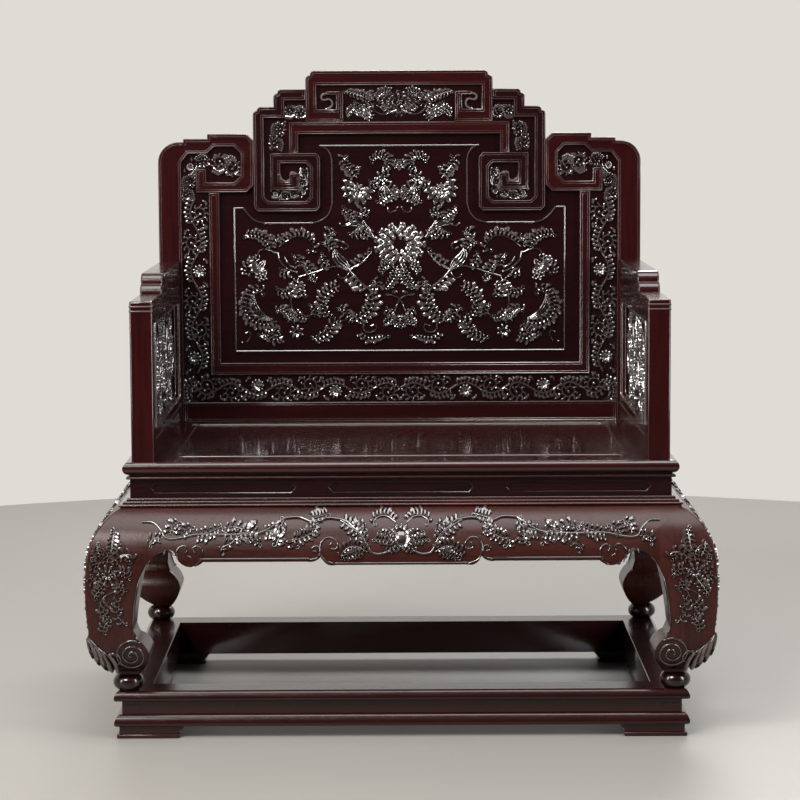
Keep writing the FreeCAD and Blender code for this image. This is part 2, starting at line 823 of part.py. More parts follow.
def make_arm(name, side):
    """One arm: two posts, a plain bottom rail, a top rail with a rolled step and a panel in grooves."""
    post = size("arm_post_width")
    front_top = seat_top + size("arm_front_rise")
    rear_top = seat_top + size("arm_rear_rise")
    rail_top = seat_top + size("arm_bottom_rail_height")
    rail_low = front_top - size("arm_top_rail_drop")
    front_end, rear_end = arm_front + post, back_front - post
    across = side_span(side, arm_inner, arm_outer)

    front_post = new_body(f"arm_{name}_front_post")
    block(front_post, "post", across, (arm_front, front_end), (seat_top, front_top))
    rear_post = new_body(f"arm_{name}_rear_post")
    block(rear_post, "post", across, (rear_end, back_front), (seat_top, rear_top))
    bottom_rail = new_body(f"arm_{name}_bottom_rail")
    block(bottom_rail, "rail", across, (front_end, rear_end), (seat_top, rail_top))

    top_rail = new_body(f"arm_{name}_top_rail")
    step = size("arm_rear_rise") - size("arm_front_rise")
    step_y = arm_front + size("arm_front_level")
    rolled = mapped(lobed_corner(-step_y, rear_top, step), lambda along, up: (-along, up))
    outline = [(front_end, rail_low), (rear_end, rail_low), (rear_end, rear_top)] + rolled
    outline.append((front_end, front_top))
    extrude(top_rail, "outline", "YZ", [outline], *across)

    panel = new_body(f"arm_{name}_panel")
    tongue = size("arm_tongue")
    thick = middle_span(arm_middle * side, size("arm_panel_thickness"))
    limits = (thick, (front_end - tongue, rear_end + tongue), (rail_top - tongue, rail_low + tongue))
    block(panel, "board", *limits)
    for body in (front_post, rear_post, bottom_rail, top_rail):
        mortise(body, "groove", *limits)

    tenon_across = middle_span(arm_middle * side, size("arm_tenon_thickness"))
    length = size("arm_tenon_length")
    heights = {
        "bottom": (bottom_rail, middle_span((seat_top + rail_top - tongue) / 2, size("arm_tenon_height"))),
        "top": (top_rail, middle_span((rail_low + tongue + front_top) / 2, size("arm_tenon_height"))),
    }
    for level, (rail, up) in heights.items():
        for post_name, body, along in (
            ("front", front_post, (front_end - length, front_end)),
            ("rear", rear_post, (rear_end, rear_end + length)),
        ):
            block(rail, f"{post_name}_tenon", tenon_across, along, up)
            mortise(body, f"{level}_mortise", tenon_across, along, up)
    return front_post, rear_post


# Lines of the back screen that several of its boards share, for its right half
back_top = seat_top + size("back_height")
ear_top = back_top - size("ear_drop")
ear_low = ear_top - size("ear_step_drop")
shoulder_top = back_top - size("shoulder_drop")
corner_z = shoulder_top - size("shoulder_step_end") - size("corner_radius")
hook_low = shoulder_top - size("hook_drop")
crest_foot = back_top - size("crest_height")
neck_low = crest_foot - size("inner_top_height")
fret_top = crest_foot - size("fret_drop")
fret_low = fret_top - size("fret_height")
bottom_rail_top = seat_top + size("bottom_rail_height")
border_top = bottom_rail_top + size("bottom_border_height")
inner_bottom_top = border_top + size("inner_bottom_height")

stile_in = arm_outer - size("stile_width")
inner_out = stile_in - size("side_border_width")
inner_in = inner_out - size("inner_stile_width")
corner_x = arm_outer - size("corner_radius")
ear_outer = arm_outer - size("shoulder_width")
ear_x = ear_outer - size("ear_step_width")
crest_x = ear_x - size("ear_width")
fret_in = ear_outer - size("fret_width")
neck_out = ear_outer - size("inner_neck_inset")
neck_in = neck_out - size("inner_neck_width")


def back_plate(label, outline, sink=ZERO, thickness=size("back_thickness")):
    """Cut one board of the back screen from its outline, set back from the front by its sink."""
    body = new_body(label)
    front = back_front + sink
    extrude(body, "outline", "XZ", [outline], front, front + thickness)
    return body


def corner_spot(turn):
    """A point of the round outer corner, with the turn in quarters from level to upright."""
    angle = radians(90 * turn)
    radius = size("corner_radius")
    return corner_x + radius * cos(angle), corner_z + radius * sin(angle)


def shoulder_field():
    """The sunk field inside the right shoulder and its hook, from the stile round to the inner stile."""
    band, corner = size("shoulder_band"), size("shoulder_corner")
    hook_high = hook_low + size("hook_band")
    hook_out = stile_in - size("hook_outset")
    tip_in = hook_out - size("hook_tip_width")
    tip_z = hook_low + size("hook_tip_height")
    field_in = ear_outer + band
    field_top = shoulder_top - band
    step_x = corner_x - size("shoulder_low_width") - size("shoulder_step_width")
    return [
        (stile_in, corner_z),
        (stile_in - corner, field_top - corner),
        (step_x, field_top - corner),
        (step_x - corner, field_top),
        (field_in + corner, field_top),
        (field_in, field_top - corner),
        (field_in, hook_high + corner),
        (field_in + corner, hook_high),
        (tip_in, hook_high),
        (tip_in, tip_z),
        (hook_out, tip_z),
        (hook_out, hook_low),
    ]


def shoulder_outline():
    """Right shoulder: round outer corner, two low steps, cut inner corner and the hook below it."""
    corner = size("shoulder_corner")
    step_z = shoulder_top - size("shoulder_step")
    low_x = corner_x - size("shoulder_low_width")
    step_x = low_x - size("shoulder_step_width")
    return list(reversed(shoulder_field())) + [
        corner_spot(0.5),
        Via(*corner_spot(0.75)),
        corner_spot(1),
        (low_x, shoulder_top - size("shoulder_step_end")),
        (low_x, step_z),
        (step_x, step_z),
        (step_x, shoulder_top),
        (ear_outer + corner, shoulder_top),
        (ear_outer, shoulder_top - corner),
        (ear_outer, hook_low + corner),
        (ear_outer + corner, hook_low),
    ]


def fret_inner_edge():
    """The inner edge of the right fret ear, up from its outer side to the neck of the inner frame."""
    chamfer = size("fret_chamfer")
    return [
        (ear_outer, fret_low + chamfer),
        (ear_outer - chamfer, fret_low),
        (fret_in + chamfer, fret_low),
        (fret_in, fret_low + chamfer),
        (fret_in, fret_top - chamfer),
        (fret_in + chamfer, fret_top),
    ]


def make_fret(name, side):
    """Fret ear: two steps beside the crest and a squared spiral, with a sunk channel between its bands."""
    corner, chamfer = size("ear_corner"), size("fret_chamfer")
    steps = lobed_corner(ear_x, ear_top, corner) + [(ear_x, ear_low)] + lobed_corner(ear_outer, ear_low, corner)
    outline = [(crest_x, ear_top)] + steps + fret_inner_edge()
    outline += [(neck_out, fret_top), (neck_out, crest_foot), (crest_x, crest_foot)]
    body = back_plate(f"back_{name}_fret", mirrored(outline, side))

    ear_band, band = size("ear_band"), size("fret_band")
    right = ear_outer - size("fret_right_inset")
    tail_low = fret_low + size("fret_tail_rise")
    tail_high = tail_low + size("fret_tail_band")
    tail_in = fret_in + size("fret_tail_inset")
    tip_z = tail_high + size("fret_tail_tip")
    channel = [
        (crest_x, crest_foot),
        (crest_x, ear_top - ear_band),
        (ear_x - ear_band, ear_top - ear_band),
        (ear_x - ear_band, ear_low - ear_band),
        (ear_outer - ear_band, ear_low - ear_band),
        (ear_outer - ear_band, fret_low + band + chamfer),
        (ear_outer - ear_band - chamfer, fret_low + band),
        (fret_in + band + chamfer, fret_low + band),
        (fret_in + band, fret_low + band + chamfer),
        (fret_in + band, fret_top - band - chamfer),
        (fret_in + band + chamfer, fret_top - band),
        (right - band, fret_top - band),
        (right - band, tail_high),
        (tail_in + band, tail_high),
        (tail_in + band, tip_z),
        (tail_in, tip_z),
        (tail_in, tail_low),
        (right, tail_low),
        (right, fret_top),
        (neck_out, fret_top),
        (neck_out, crest_foot),
    ]
    depth = (back_front, back_front + size("channel_depth"))
    extrude(body, "channel", "XZ", [mirrored(channel, side)], *depth, cut=True)


def crest_field():
    """Right half of the sunk crest field, which runs round the hook at its end."""
    hook_in = crest_x - size("crest_hook_width")
    hook_band = size("crest_hook_band")
    field_top = back_top - size("crest_band")
    hook_top = field_top - size("crest_hook_gap")
    hook_tip = hook_in + size("crest_hook_reach")
    side_in = crest_x - size("crest_side_band")
    bar_top = crest_foot + size("crest_bottom_band")
    return [
        (hook_in, crest_foot),
        (hook_in, hook_top),
        (hook_tip, hook_top),
        (hook_tip, hook_top - hook_band / 2),
        (hook_in + hook_band, hook_top - hook_band / 2),
        (hook_in + hook_band, bar_top),
        (side_in, bar_top),
        (side_in, field_top),
    ]


def make_crest():
    """Crest frame, a level band with lobed corners and hooked ends, and the panel inside it."""
    right = lobed_corner(crest_x, back_top, size("crest_corner")) + [(crest_x, crest_foot)]
    back_plate("back_crest_frame", both_halves(right + crest_field()))
    back_plate("back_crest_panel", both_halves(crest_field()), size("border_sink"), size("border_thickness"))


def make_back_side(name, side):
    """Stile, shoulder, inner stile and carved side border of one side of the back."""
    stile = [
        (stile_in, seat_top),
        (arm_outer, seat_top),
        corner_spot(0),
        Via(*corner_spot(0.25)),
        corner_spot(0.5),
        (stile_in, corner_z),
    ]
    body = back_plate(f"back_{name}_stile", mirrored(stile, side))
    back_plate(f"back_{name}_shoulder", mirrored(shoulder_outline(), side))
    inner_stile = [
        (inner_in, inner_bottom_top),
        (inner_out, border_top),
        (inner_out, hook_low),
        (inner_in, hook_low),
    ]
    back_plate(f"back_{name}_inner_stile", mirrored(inner_stile, side))
    border = [(inner_out, hook_low), (inner_out, bottom_rail_top), (stile_in, bottom_rail_top)]
    border += shoulder_field()
    sunk = (size("border_sink"), size("border_thickness"))
    back_plate(f"back_{name}_border", mirrored(border, side), *sunk)
    return body


def make_back_middle():
    """Bottom rail, bottom border, inner rails and the large centre panel of the back."""
    bottom = both_halves([(stile_in, seat_top), (stile_in, bottom_rail_top)])
    bottom_rail = back_plate("back_bottom_rail", bottom)
    border = both_halves([(inner_out, bottom_rail_top), (inner_out, border_top)])
    back_plate("back_bottom_border", border, size("border_sink"), size("border_thickness"))
    back_plate("back_inner_bottom_rail", both_halves([(inner_out, border_top), (inner_in, inner_bottom_top)]))
    neck = [(neck_out, crest_foot), (neck_out, fret_top), (neck_in, fret_top), (neck_in, neck_low)]
    back_plate("back_inner_top_rail", both_halves(neck))
    corner = size("shoulder_corner")
    panel = [
        (inner_in, inner_bottom_top),
        (inner_in, hook_low),
        (ear_outer + corner, hook_low),
        (ear_outer, hook_low + corner),
    ]
    panel += fret_inner_edge() + [(neck_in, fret_top), (neck_in, neck_low)]
    back_plate("back_panel", both_halves(panel), size("panel_sink"), size("panel_thickness"))
    return bottom_rail


def tenon_bottom_rail(bottom_rail, stiles):
    """Tenon the bottom rail of the back into both stiles."""
    along = middle_span((back_front + back_rear) / 2, size("arm_tenon_thickness"))
    up = middle_span((seat_top + bottom_rail_top) / 2, size("arm_tenon_height"))
    for name, side in SIDES.items():
        across = side_span(side, stile_in, stile_in + size("arm_tenon_length"))
        block(bottom_rail, f"{name}_tenon", across, along, up)
        mortise(stiles[name], "rail_mortise", across, along, up)


def key(label, across, along, up, bodies):
    """A loose key with its seats in the pieces that it holds together."""
    body = new_body(label)
    block(body, "bar", across, along, up)
    for number, held in enumerate(bodies):
        mortise(held, f"{label}_{number}", across, along, up)
    return body


def make_keys(seat_rails, arm_posts, stiles, bottom_rail):
    """Keys that hold the arms and the back to the seat, and the arms to the back."""
    width, length = size("key_width"), size("key_length")
    up = (seat_top - size("key_seat_depth"), seat_top + size("key_rise"))
    back_middle = (back_front + back_rear) / 2
    post_half = size("arm_post_width") / 2
    arm_keys = []
    back_keys = []
    for name, side in SIDES.items():
        front_post, rear_post = arm_posts[name]
        across = middle_span(arm_middle * side, width)
        for end_name, post, centre in (
            ("front", front_post, arm_front + post_half),
            ("rear", rear_post, back_front - post_half),
        ):
            along = middle_span(centre, length)
            held = [post, seat_rails[name]]
            if end_name == "front":
                held.append(seat_rails["front"])
            arm_keys.append(key(f"arm_{name}_{end_name}_key", across, along, up, held))
        side_low = seat_top + size("side_key_rise")
        side_up = (side_low, side_low + size("side_key_height"))
        held = (rear_post, stiles[name])
        arm_keys.append(key(f"arm_{name}_back_key", across, middle_span(back_front, length), side_up, held))
        along = middle_span(back_middle, width)
        stile_middle = (arm_outer + stile_in) / 2
        held = (stiles[name], seat_rails["rear"], seat_rails[name])
        stile_across = middle_span(stile_middle * side, length)
        back_keys.append(key(f"back_{name}_stile_key", stile_across, along, up, held))
        rail_across = middle_span(size("back_key_spread") * side, length)
        held = (bottom_rail, seat_rails["rear"])
        back_keys.append(key(f"back_{name}_rail_key", rail_across, along, up, held))
    return arm_keys, back_keys


def group(label, bodies):
    """Gather alike pieces in one node."""
    together = doc.addObject("Part::Compound", label)
    together.Label = label
    together.Links = bodies
    return together


def finish_and_export(pieces):
    """Recompute, check every object and write each piece to its own file."""
    doc.recompute()
    for thing in doc.Objects:
        if "Invalid" in thing.State or "Error" in thing.State:
            raise RuntimeError(f"{thing.Label} failed: {thing.State}")
        if thing.TypeId.startswith(("PartDesign::Pocket", "PartDesign::Subtractive")):
            if thing.Shape.Volume > thing.BaseFeature.Shape.Volume - 1:
                raise RuntimeError(f"{thing.Label} cuts nothing")
    os.makedirs("parts", exist_ok=True)
    for piece in pieces:
        if piece.Shape.isNull() or not piece.Shape.isValid():
            raise RuntimeError(f"{piece.Label} has no valid shape")
        piece.Shape.exportStep(f"parts/{piece.Label}.step")
        box = piece.Shape.BoundBox
        print(f"{piece.Label:28} {len(piece.Shape.Solids)} solids {piece.Shape.Volume / 1000:9.1f} cm3  "
              f"{box.XLength:7.1f} {box.YLength:7.1f} {box.ZLength:7.1f}")


base_rails = make_base()
base_feet = make_base_feet()
balls = make_balls(base_rails)
legs = make_legs()
make_aprons(legs)
make_moulding()
make_waist()
seat_rails, battens = make_seat(legs)
arm_posts = {name: make_arm(name, side) for name, side in SIDES.items()}
stiles = {name: make_back_side(name, side) for name, side in SIDES.items()}
for name, side in SIDES.items():
    make_fret(name, side)
make_crest()
bottom_rail = make_back_middle()
tenon_bottom_rail(bottom_rail, stiles)
arm_keys, back_keys = make_keys(seat_rails, arm_posts, stiles, bottom_rail)

groups = {
    "base_feet": base_feet,
    "ball_feet": balls,
    "seat_battens": battens,
    "arm_keys": arm_keys,
    "back_keys": back_keys,
}
grouped = [body for bodies in groups.values() for body in bodies]
singles = [thing for thing in doc.Objects if thing.TypeId == "PartDesign::Body" and thing not in grouped]
finish_and_export(singles + [group(label, bodies) for label, bodies in groups.items()])
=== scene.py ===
# %% [markdown]
# # A carved throne chair in dark rosewood
# The chair stands on a floor base with cabriole legs, bulging aprons, a framed seat, two framed arms and
# a stepped back screen. The solids come from the construction model and stay where they are. This script
# gives them worn edges, bead lines, carving in relief and a waxed finish, and sets up a plain studio.

# %% Load the fixed frame
import json
import math

import bmesh
import bpy
from mathutils import Matrix, Vector
from mathutils.bvhtree import BVHTree
from mathutils.geometry import interpolate_bezier


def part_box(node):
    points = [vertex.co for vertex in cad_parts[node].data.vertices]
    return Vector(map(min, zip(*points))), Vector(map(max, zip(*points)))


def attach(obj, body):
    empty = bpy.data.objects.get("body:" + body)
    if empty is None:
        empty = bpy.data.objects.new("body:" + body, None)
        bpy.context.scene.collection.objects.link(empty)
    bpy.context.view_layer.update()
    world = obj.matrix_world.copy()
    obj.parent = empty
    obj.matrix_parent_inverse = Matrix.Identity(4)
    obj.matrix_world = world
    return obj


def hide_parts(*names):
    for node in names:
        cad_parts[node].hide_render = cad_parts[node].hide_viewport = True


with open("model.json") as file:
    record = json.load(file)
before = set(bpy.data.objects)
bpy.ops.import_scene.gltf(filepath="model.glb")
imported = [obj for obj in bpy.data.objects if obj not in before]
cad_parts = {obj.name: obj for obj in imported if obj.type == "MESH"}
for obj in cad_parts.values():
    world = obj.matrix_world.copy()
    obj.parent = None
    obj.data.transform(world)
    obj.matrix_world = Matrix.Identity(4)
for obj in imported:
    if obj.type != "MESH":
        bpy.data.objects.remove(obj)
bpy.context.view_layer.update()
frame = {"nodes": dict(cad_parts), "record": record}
nodes = frame["nodes"]
MM = 0.001
X, Y, Z = 0, 1, 2
LOW, HIGH = 0, 1


def face_of(node, end, axis):
    """Where a solid begins or ends along an axis, in millimetres."""
    return round(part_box(node)[end][axis] / MM, 3)


# %% [markdown]
# ## Rosewood
# The real wood is nearly black, with a red heart that shows where light falls on it, fine dark pores and
# a waxed polish. An image could give that, but a grain made of noise has no seams and no end. One node
# group holds the grain, and each material places it along its own piece's length, because a joiner cuts
# rails and posts with the grain running along them.

# %% The grain as a node group
FACTOR, FIRST_COLOUR, SECOND_COLOUR, MIXED_COLOUR = 0, 6, 7, 2
PORE_COLOUR = (0.004, 0.0015, 0.0015, 1)
LINE_DULLNESS = 0.04
# scale, detail and twist of each noise, and the two levels of it that count as none and as all
GRAIN_NOISES = {
    "streaks": (1.0, 4.0, 0.9, 0.36, 0.66),
    "lines": (5.0, 3.0, 0.3, 0.30, 0.60),
    "pores": (34.0, 2.0, 0.0, 0.58, 0.70),
}
GRAIN_SOCKETS = {
    "INPUT": {
        "Vector": "Vector", "Heartwood": "Color", "Streak": "Color", "Figure": "Float",
        "Polish": "Float", "Wear and Painted Highlight": "Color", "Crest": "Float",
    },
    "OUTPUT": {"Color": "Color", "Roughness": "Float", "Height": "Float"},
}


def place(tree, kind, values=None, **settings):
    """Adds one node to a tree, with its settings and the values of its inputs."""
    node = tree.nodes.new(kind)
    for name, value in settings.items():
        setattr(node, name, value)
    for name, value in (values or {}).items():
        node.inputs[name].default_value = value
    return node


def band(tree, source, low, high):
    """Stretches the part of a noise between two levels to the whole range from 0 to 1."""
    level = place(tree, "ShaderNodeMapRange", {"From Min": low, "From Max": high}, clamp=True)
    tree.links.new(source, level.inputs["Value"])
    return level.outputs["Result"]


def blended(tree, factor, first, second, how="MIX"):
    """Mixes two colours by a factor; each of the three is a socket of the tree or a plain colour."""
    mix = place(tree, "ShaderNodeMix", data_type="RGBA", blend_type=how)
    for socket, source in ((FACTOR, factor), (FIRST_COLOUR, first), (SECOND_COLOUR, second)):
        if isinstance(source, tuple):
            mix.inputs[socket].default_value = source
        else:
            tree.links.new(source, mix.inputs[socket])
    return mix.outputs[MIXED_COLOUR]


def make_grain():
    """Streaks, lines and pores of rosewood, paler on the crests of its carving: partly wear, partly a
    painted highlight.
    """
    tree = bpy.data.node_groups.new("rosewood_grain", "ShaderNodeTree")
    for way, sockets in GRAIN_SOCKETS.items():
        for name, kind in sockets.items():
            tree.interface.new_socket(name, in_out=way, socket_type="NodeSocket" + kind)
    start = place(tree, "NodeGroupInput").outputs
    end = place(tree, "NodeGroupOutput").inputs
    link = tree.links.new
    marks = {}
    for name, (scale, detail, twist, low, high) in GRAIN_NOISES.items():
        noise = place(tree, "ShaderNodeTexNoise", {"Scale": scale, "Detail": detail, "Distortion": twist})
        link(start["Vector"], noise.inputs["Vector"])
        marks[name] = band(tree, noise.outputs["Fac"], low, high)

    colour = blended(tree, marks["streaks"], start["Heartwood"], start["Streak"])
    colour = blended(tree, start["Figure"], colour, marks["lines"], "MULTIPLY")
    colour = blended(tree, marks["pores"], colour, PORE_COLOUR)
    # Crests are mixed towards a paler colour: partly wear, partly a painted highlight
    link(blended(tree, start["Crest"], colour, start["Wear and Painted Highlight"]), end["Color"])

    dulled = place(tree, "ShaderNodeMath", {1: LINE_DULLNESS}, operation="MULTIPLY_ADD")
    link(marks["lines"], dulled.inputs[0])
    link(start["Polish"], dulled.inputs[2])
    link(dulled.outputs[0], end["Roughness"])
    sunk = place(tree, "ShaderNodeMath", operation="SUBTRACT")
    link(marks["lines"], sunk.inputs[0])
    link(marks["pores"], sunk.inputs[1])
    link(sunk.outputs[0], end["Height"])
    return tree


grain_group = make_grain()
print("node group:", grain_group.name, len(grain_group.nodes), "nodes")

# %% The finishes
GRAIN_ALONG, GRAIN_ACROSS = 2.4, 30.0
PORE_BUMP, PORE_DEPTH = 0.25, 0.2 * MM
BODY_SHINE = 0.2
# The paler colour of crests on the plain finishes: partly wear, partly a painted highlight
WEAR_AND_PAINTED_HIGHLIGHT = (0.045, 0.022, 0.021, 1)
# heartwood, streak and crest colours, figure, polish, coat, roughness of the coat, its index; the crest
# colour is partly wear, partly a painted highlight
FINISHES = {
    "frame_wood": (
        (0.0130, 0.0011, 0.0013, 1), (0.0200, 0.0016, 0.0018, 1), WEAR_AND_PAINTED_HIGHLIGHT, 0.25, 0.20, 0.7, 0.12, 1.5,
    ),
    "carved_wood": (
        (0.0066, 0.0011, 0.0013, 1), (0.0090, 0.0013, 0.0015, 1), WEAR_AND_PAINTED_HIGHLIGHT, 0.12, 0.18, 0.45, 0.12, 1.5,
    ),
    "base_wood": (
        (0.0115, 0.0021, 0.0018, 1), (0.0165, 0.0029, 0.0025, 1), WEAR_AND_PAINTED_HIGHLIGHT, 0.20, 0.19, 0.38, 0.12, 1.5,
    ),
    # The aprons and legs take a paler, redder copy of the wood: partly their own tone, partly a painted
    # sheen that the bulges catch
    "bulging_wood": (
        (0.0190, 0.0042, 0.0030, 1), (0.0300, 0.0068, 0.0050, 1), WEAR_AND_PAINTED_HIGHLIGHT, 0.20, 0.26, 0.08, 0.20, 1.5,
    ),
    # The relief finishes have the palest crest colour: a painted highlight along the ridge tops, with some
    # wear
    "relief": (
        (0.0050, 0.0011, 0.0012, 1), (0.0070, 0.0013, 0.0014, 1), (0.080, 0.059, 0.054, 1),
        0.10, 0.22, 1.0, 0.14, 2.8,
    ),
    "bulging_relief": (
        (0.0060, 0.0014, 0.0013, 1), (0.0080, 0.0018, 0.0016, 1), (0.046, 0.030, 0.026, 1),
        0.10, 0.22, 1.0, 0.14, 1.7,
    ),
    "seat_wood": (
        (0.0120, 0.0020, 0.0020, 1), (0.0360, 0.0056, 0.0050, 1), WEAR_AND_PAINTED_HIGHLIGHT, 0.50, 0.17, 1.0, 0.12, 1.5,
    ),
    "hidden_wood": (
        (0.0420, 0.0150, 0.0110, 1), (0.0800, 0.0320, 0.0220, 1), (0.080, 0.032, 0.022, 1),
        0.40, 0.55, 0.0, 0.12, 1.5,
    ),
}
AXES = "xyz"
finishes = {}


def rosewood(finish, axis):
    """A finish with its grain along an axis, made when it is first asked for."""
    name = finish + "_along_" + AXES[axis]
    if name in finishes:
        return finishes[name]
    heartwood, streak, wear_and_painted_highlight, figure, polish, coat, haze, index = FINISHES[finish]
    material = bpy.data.materials.new(name)
    material.use_nodes = True
    tree = material.node_tree
    tree.nodes.clear()
    stretch = [GRAIN_ACROSS] * 3
    stretch[axis] = GRAIN_ALONG
    where = place(tree, "ShaderNodeTexCoord")
    turned = place(tree, "ShaderNodeMapping", {"Scale": stretch})
    crest = place(tree, "ShaderNodeAttribute", attribute_name="crest")
    grain = place(tree, "ShaderNodeGroup", {
        "Heartwood": heartwood, "Streak": streak, "Wear and Painted Highlight": wear_and_painted_highlight, "Figure": figure, "Polish": polish,
    }, node_tree=grain_group)
    relief = place(tree, "ShaderNodeBump", {"Strength": PORE_BUMP, "Distance": PORE_DEPTH})
    shader = place(tree, "ShaderNodeBsdfPrincipled", {
        "Coat Weight": coat, "Coat Roughness": haze, "Coat IOR": index, "Specular IOR Level": BODY_SHINE,
    })
    output = place(tree, "ShaderNodeOutputMaterial")
    link = tree.links.new
    link(where.outputs["Object"], turned.inputs["Vector"])
    link(turned.outputs["Vector"], grain.inputs["Vector"])
    link(crest.outputs["Fac"], grain.inputs["Crest"])
    link(grain.outputs["Color"], shader.inputs["Base Color"])
    link(grain.outputs["Roughness"], shader.inputs["Roughness"])
    link(grain.outputs["Height"], relief.inputs["Height"])
    link(relief.outputs["Normal"], shader.inputs["Normal"])
    link(shader.outputs["BSDF"], output.inputs["Surface"])
    finishes[name] = material
    return material


slot_of_node = {part["node"]: part["material_slot"] for part in frame["record"]["subparts"]}
print("slots:", sorted(set(slot_of_node.values())), len(slot_of_node), "nodes")


def long_axis(node):
    """The axis that a solid is longest in, which its grain follows."""
    low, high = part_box(node)
    size = high - low
    return max((X, Y, Z), key=lambda axis: size[axis])


# %% [markdown]
# ## Worn edges
# Every open edge of a waxed chair is rounded by the plane and by hands, and that thin round is what
# catches the light. The solids have sharp edges, so each piece is a copy of its solid with its open
# corners bevelled. Where two solids meet flush, the joint stays tight, as a joiner leaves it, so an edge
# that lies on a neighbour is passed over.

# %% Which edges are open
WELD = 0.01 * MM
FLAT_ANGLE = math.radians(0.5)
JOINT_REACH = 0.4 * MM
OPEN_ANGLE = math.radians(30)


def make_whole(bm, reach):
    """Welds points that lie within a reach, and makes flat faces whole again."""
    bmesh.ops.remove_doubles(bm, verts=bm.verts, dist=reach)
    bmesh.ops.dissolve_limit(bm, angle_limit=FLAT_ANGLE, verts=bm.verts, edges=bm.edges)


def solid_of(node):
    """A welded copy of one solid, whose own mesh is loose triangles."""
    bm = bmesh.new()
    bm.from_mesh(nodes[node].data)
    make_whole(bm, WELD)
    return bm


surfaces, boxes = {}, {}
for name in nodes:
    bm = bmesh.new()
    bm.from_mesh(nodes[name].data)
    surfaces[name] = BVHTree.FromBMesh(bm)
    boxes[name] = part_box(name)
    bm.free()
print("surfaces:", len(surfaces))


def lies_on_neighbour(node, point):
    """True where a point of one solid touches another solid."""
    for other, surface in surfaces.items():
        low, high = boxes[other]
        inside = all(low[i] - JOINT_REACH < point[i] < high[i] + JOINT_REACH for i in range(3))
        if other != node and inside and surface.find_nearest(point, JOINT_REACH)[0] is not None:
            return True
    return False


def open_corners(bm, node, shortest):
    """The convex edges of a solid that are sharp and long enough and lie on no neighbour."""
    found = []
    for edge in bm.edges:
        if len(edge.link_faces) != 2 or edge.calc_face_angle_signed(0) < OPEN_ANGLE:
            continue
        if edge.calc_length() < shortest * MM:
            continue
        middle = (edge.verts[0].co + edge.verts[1].co) / 2
        if not lies_on_neighbour(node, middle):
            found.append(edge)
    return found


# %% Turn a mesh into a finished piece
SOLID_CREASE, CARVED_CREASE = 50, 60


def as_mesh(bm, name):
    """Turns a bmesh into a mesh and frees it."""
    mesh = bpy.data.meshes.new(name)
    bm.to_mesh(mesh)
    bm.free()
    return mesh


def add_object(name, data):
    """Puts an object with its data into the scene."""
    thing = bpy.data.objects.new(name, data)
    bpy.context.scene.collection.objects.link(thing)
    return thing


def drawn_mesh(thing):
    """The mesh that an object shows with its curve or modifiers; the object itself goes."""
    graph = bpy.context.evaluated_depsgraph_get()
    mesh = bpy.data.meshes.new_from_object(thing.evaluated_get(graph))
    bpy.data.objects.remove(thing)
    return mesh


def crease(bm, sharp, seams=()):
    """Shades a mesh smooth, with a crease at seams and at edges sharper than an angle."""
    for face in bm.faces:
        face.smooth = True
    for edge in bm.edges:
        edge.smooth = edge not in seams and edge.calc_face_angle(0) < math.radians(sharp)


def keep(bm, name, slot, axis, replaced=(), finish=None):
    """Makes a finished piece of a mesh: its wood and its body."""
    mesh = as_mesh(bm, name)
    mesh.materials.append(rosewood(finish or slot, axis))
    piece = add_object(name, mesh)
    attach(piece, "root")
    if replaced:
        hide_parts(*replaced)


def soften(node, width, finish, shortest):
    """A copy of one solid with its open corners rounded, which stands for the solid."""
    bm = solid_of(node)
    corners = open_corners(bm, node, shortest)
    made = bmesh.ops.bevel(
        bm, geom=corners, offset=width * MM, offset_type="OFFSET", segments=2, profile=0.5,
        affect="EDGES", clamp_overlap=True, material=-1,
    )
    rounds = set(made["faces"])
    seams = {edge for edge in bm.edges if sum(face in rounds for face in edge.link_faces) == 1}
    crease(bm, SOLID_CREASE, seams)
    keep(bm, node + "_finished", slot_of_node[node], long_axis(node), [node], finish)
    return len(corners)


# %% Soften the frames
ROUNDING = {
    "base": 2.0, "leg": 2.0, "apron": 1.5, "moulding": 2.2, "waist": 1.2, "seat": 3.0, "arm": 2.5,
    "back": 1.5,
}
OTHER_ROUNDING = 1.0
# The waist takes the darker wood of the carved grounds as painted shade under the seat's overhang
FINISH_OF = {
    "leg": "bulging_wood", "apron": "bulging_wood", "base": "base_wood", "waist": "carved_wood",
    "moulding": "seat_wood", "ball": "carved_wood",
}
# Shorter edges than this on the base rails belong to their tenons, which stay sharp
TENON_EDGE = 40
HIDDEN = ("arm_keys", "back_keys", "seat_battens")
for name in sorted(nodes):
    if name in HIDDEN:
        nodes[name].data.materials.clear()
        nodes[name].data.materials.append(rosewood(slot_of_node[name], long_axis(name)))
        continue
    kind = name.split("_")[0]
    width = ROUNDING.get(kind, OTHER_ROUNDING)
    shortest = TENON_EDGE if kind == "base" and name.endswith("rail") else 0
    count = soften(name, width, FINISH_OF.get(kind), shortest)
    print(name, "rounded", count, "corners by", width, "mm")

# %% [markdown]
# ## Carving tools
# The chair is covered with scrolling vines in relief: round stems, leaf fronds that look like rows of
# commas along a rib, long ribbed leaves and lotus flowers. Sculpting each leaf would take a file of its
# own. Instead a few small shapes, the strokes of the gouge, are made once with mesh operators and laid
# along drawn lines on a flat board in millimetres. The board is then set in its field.

# %% The strokes
STROKE_SINK = 0.2
HOOK_TURN = 2.1


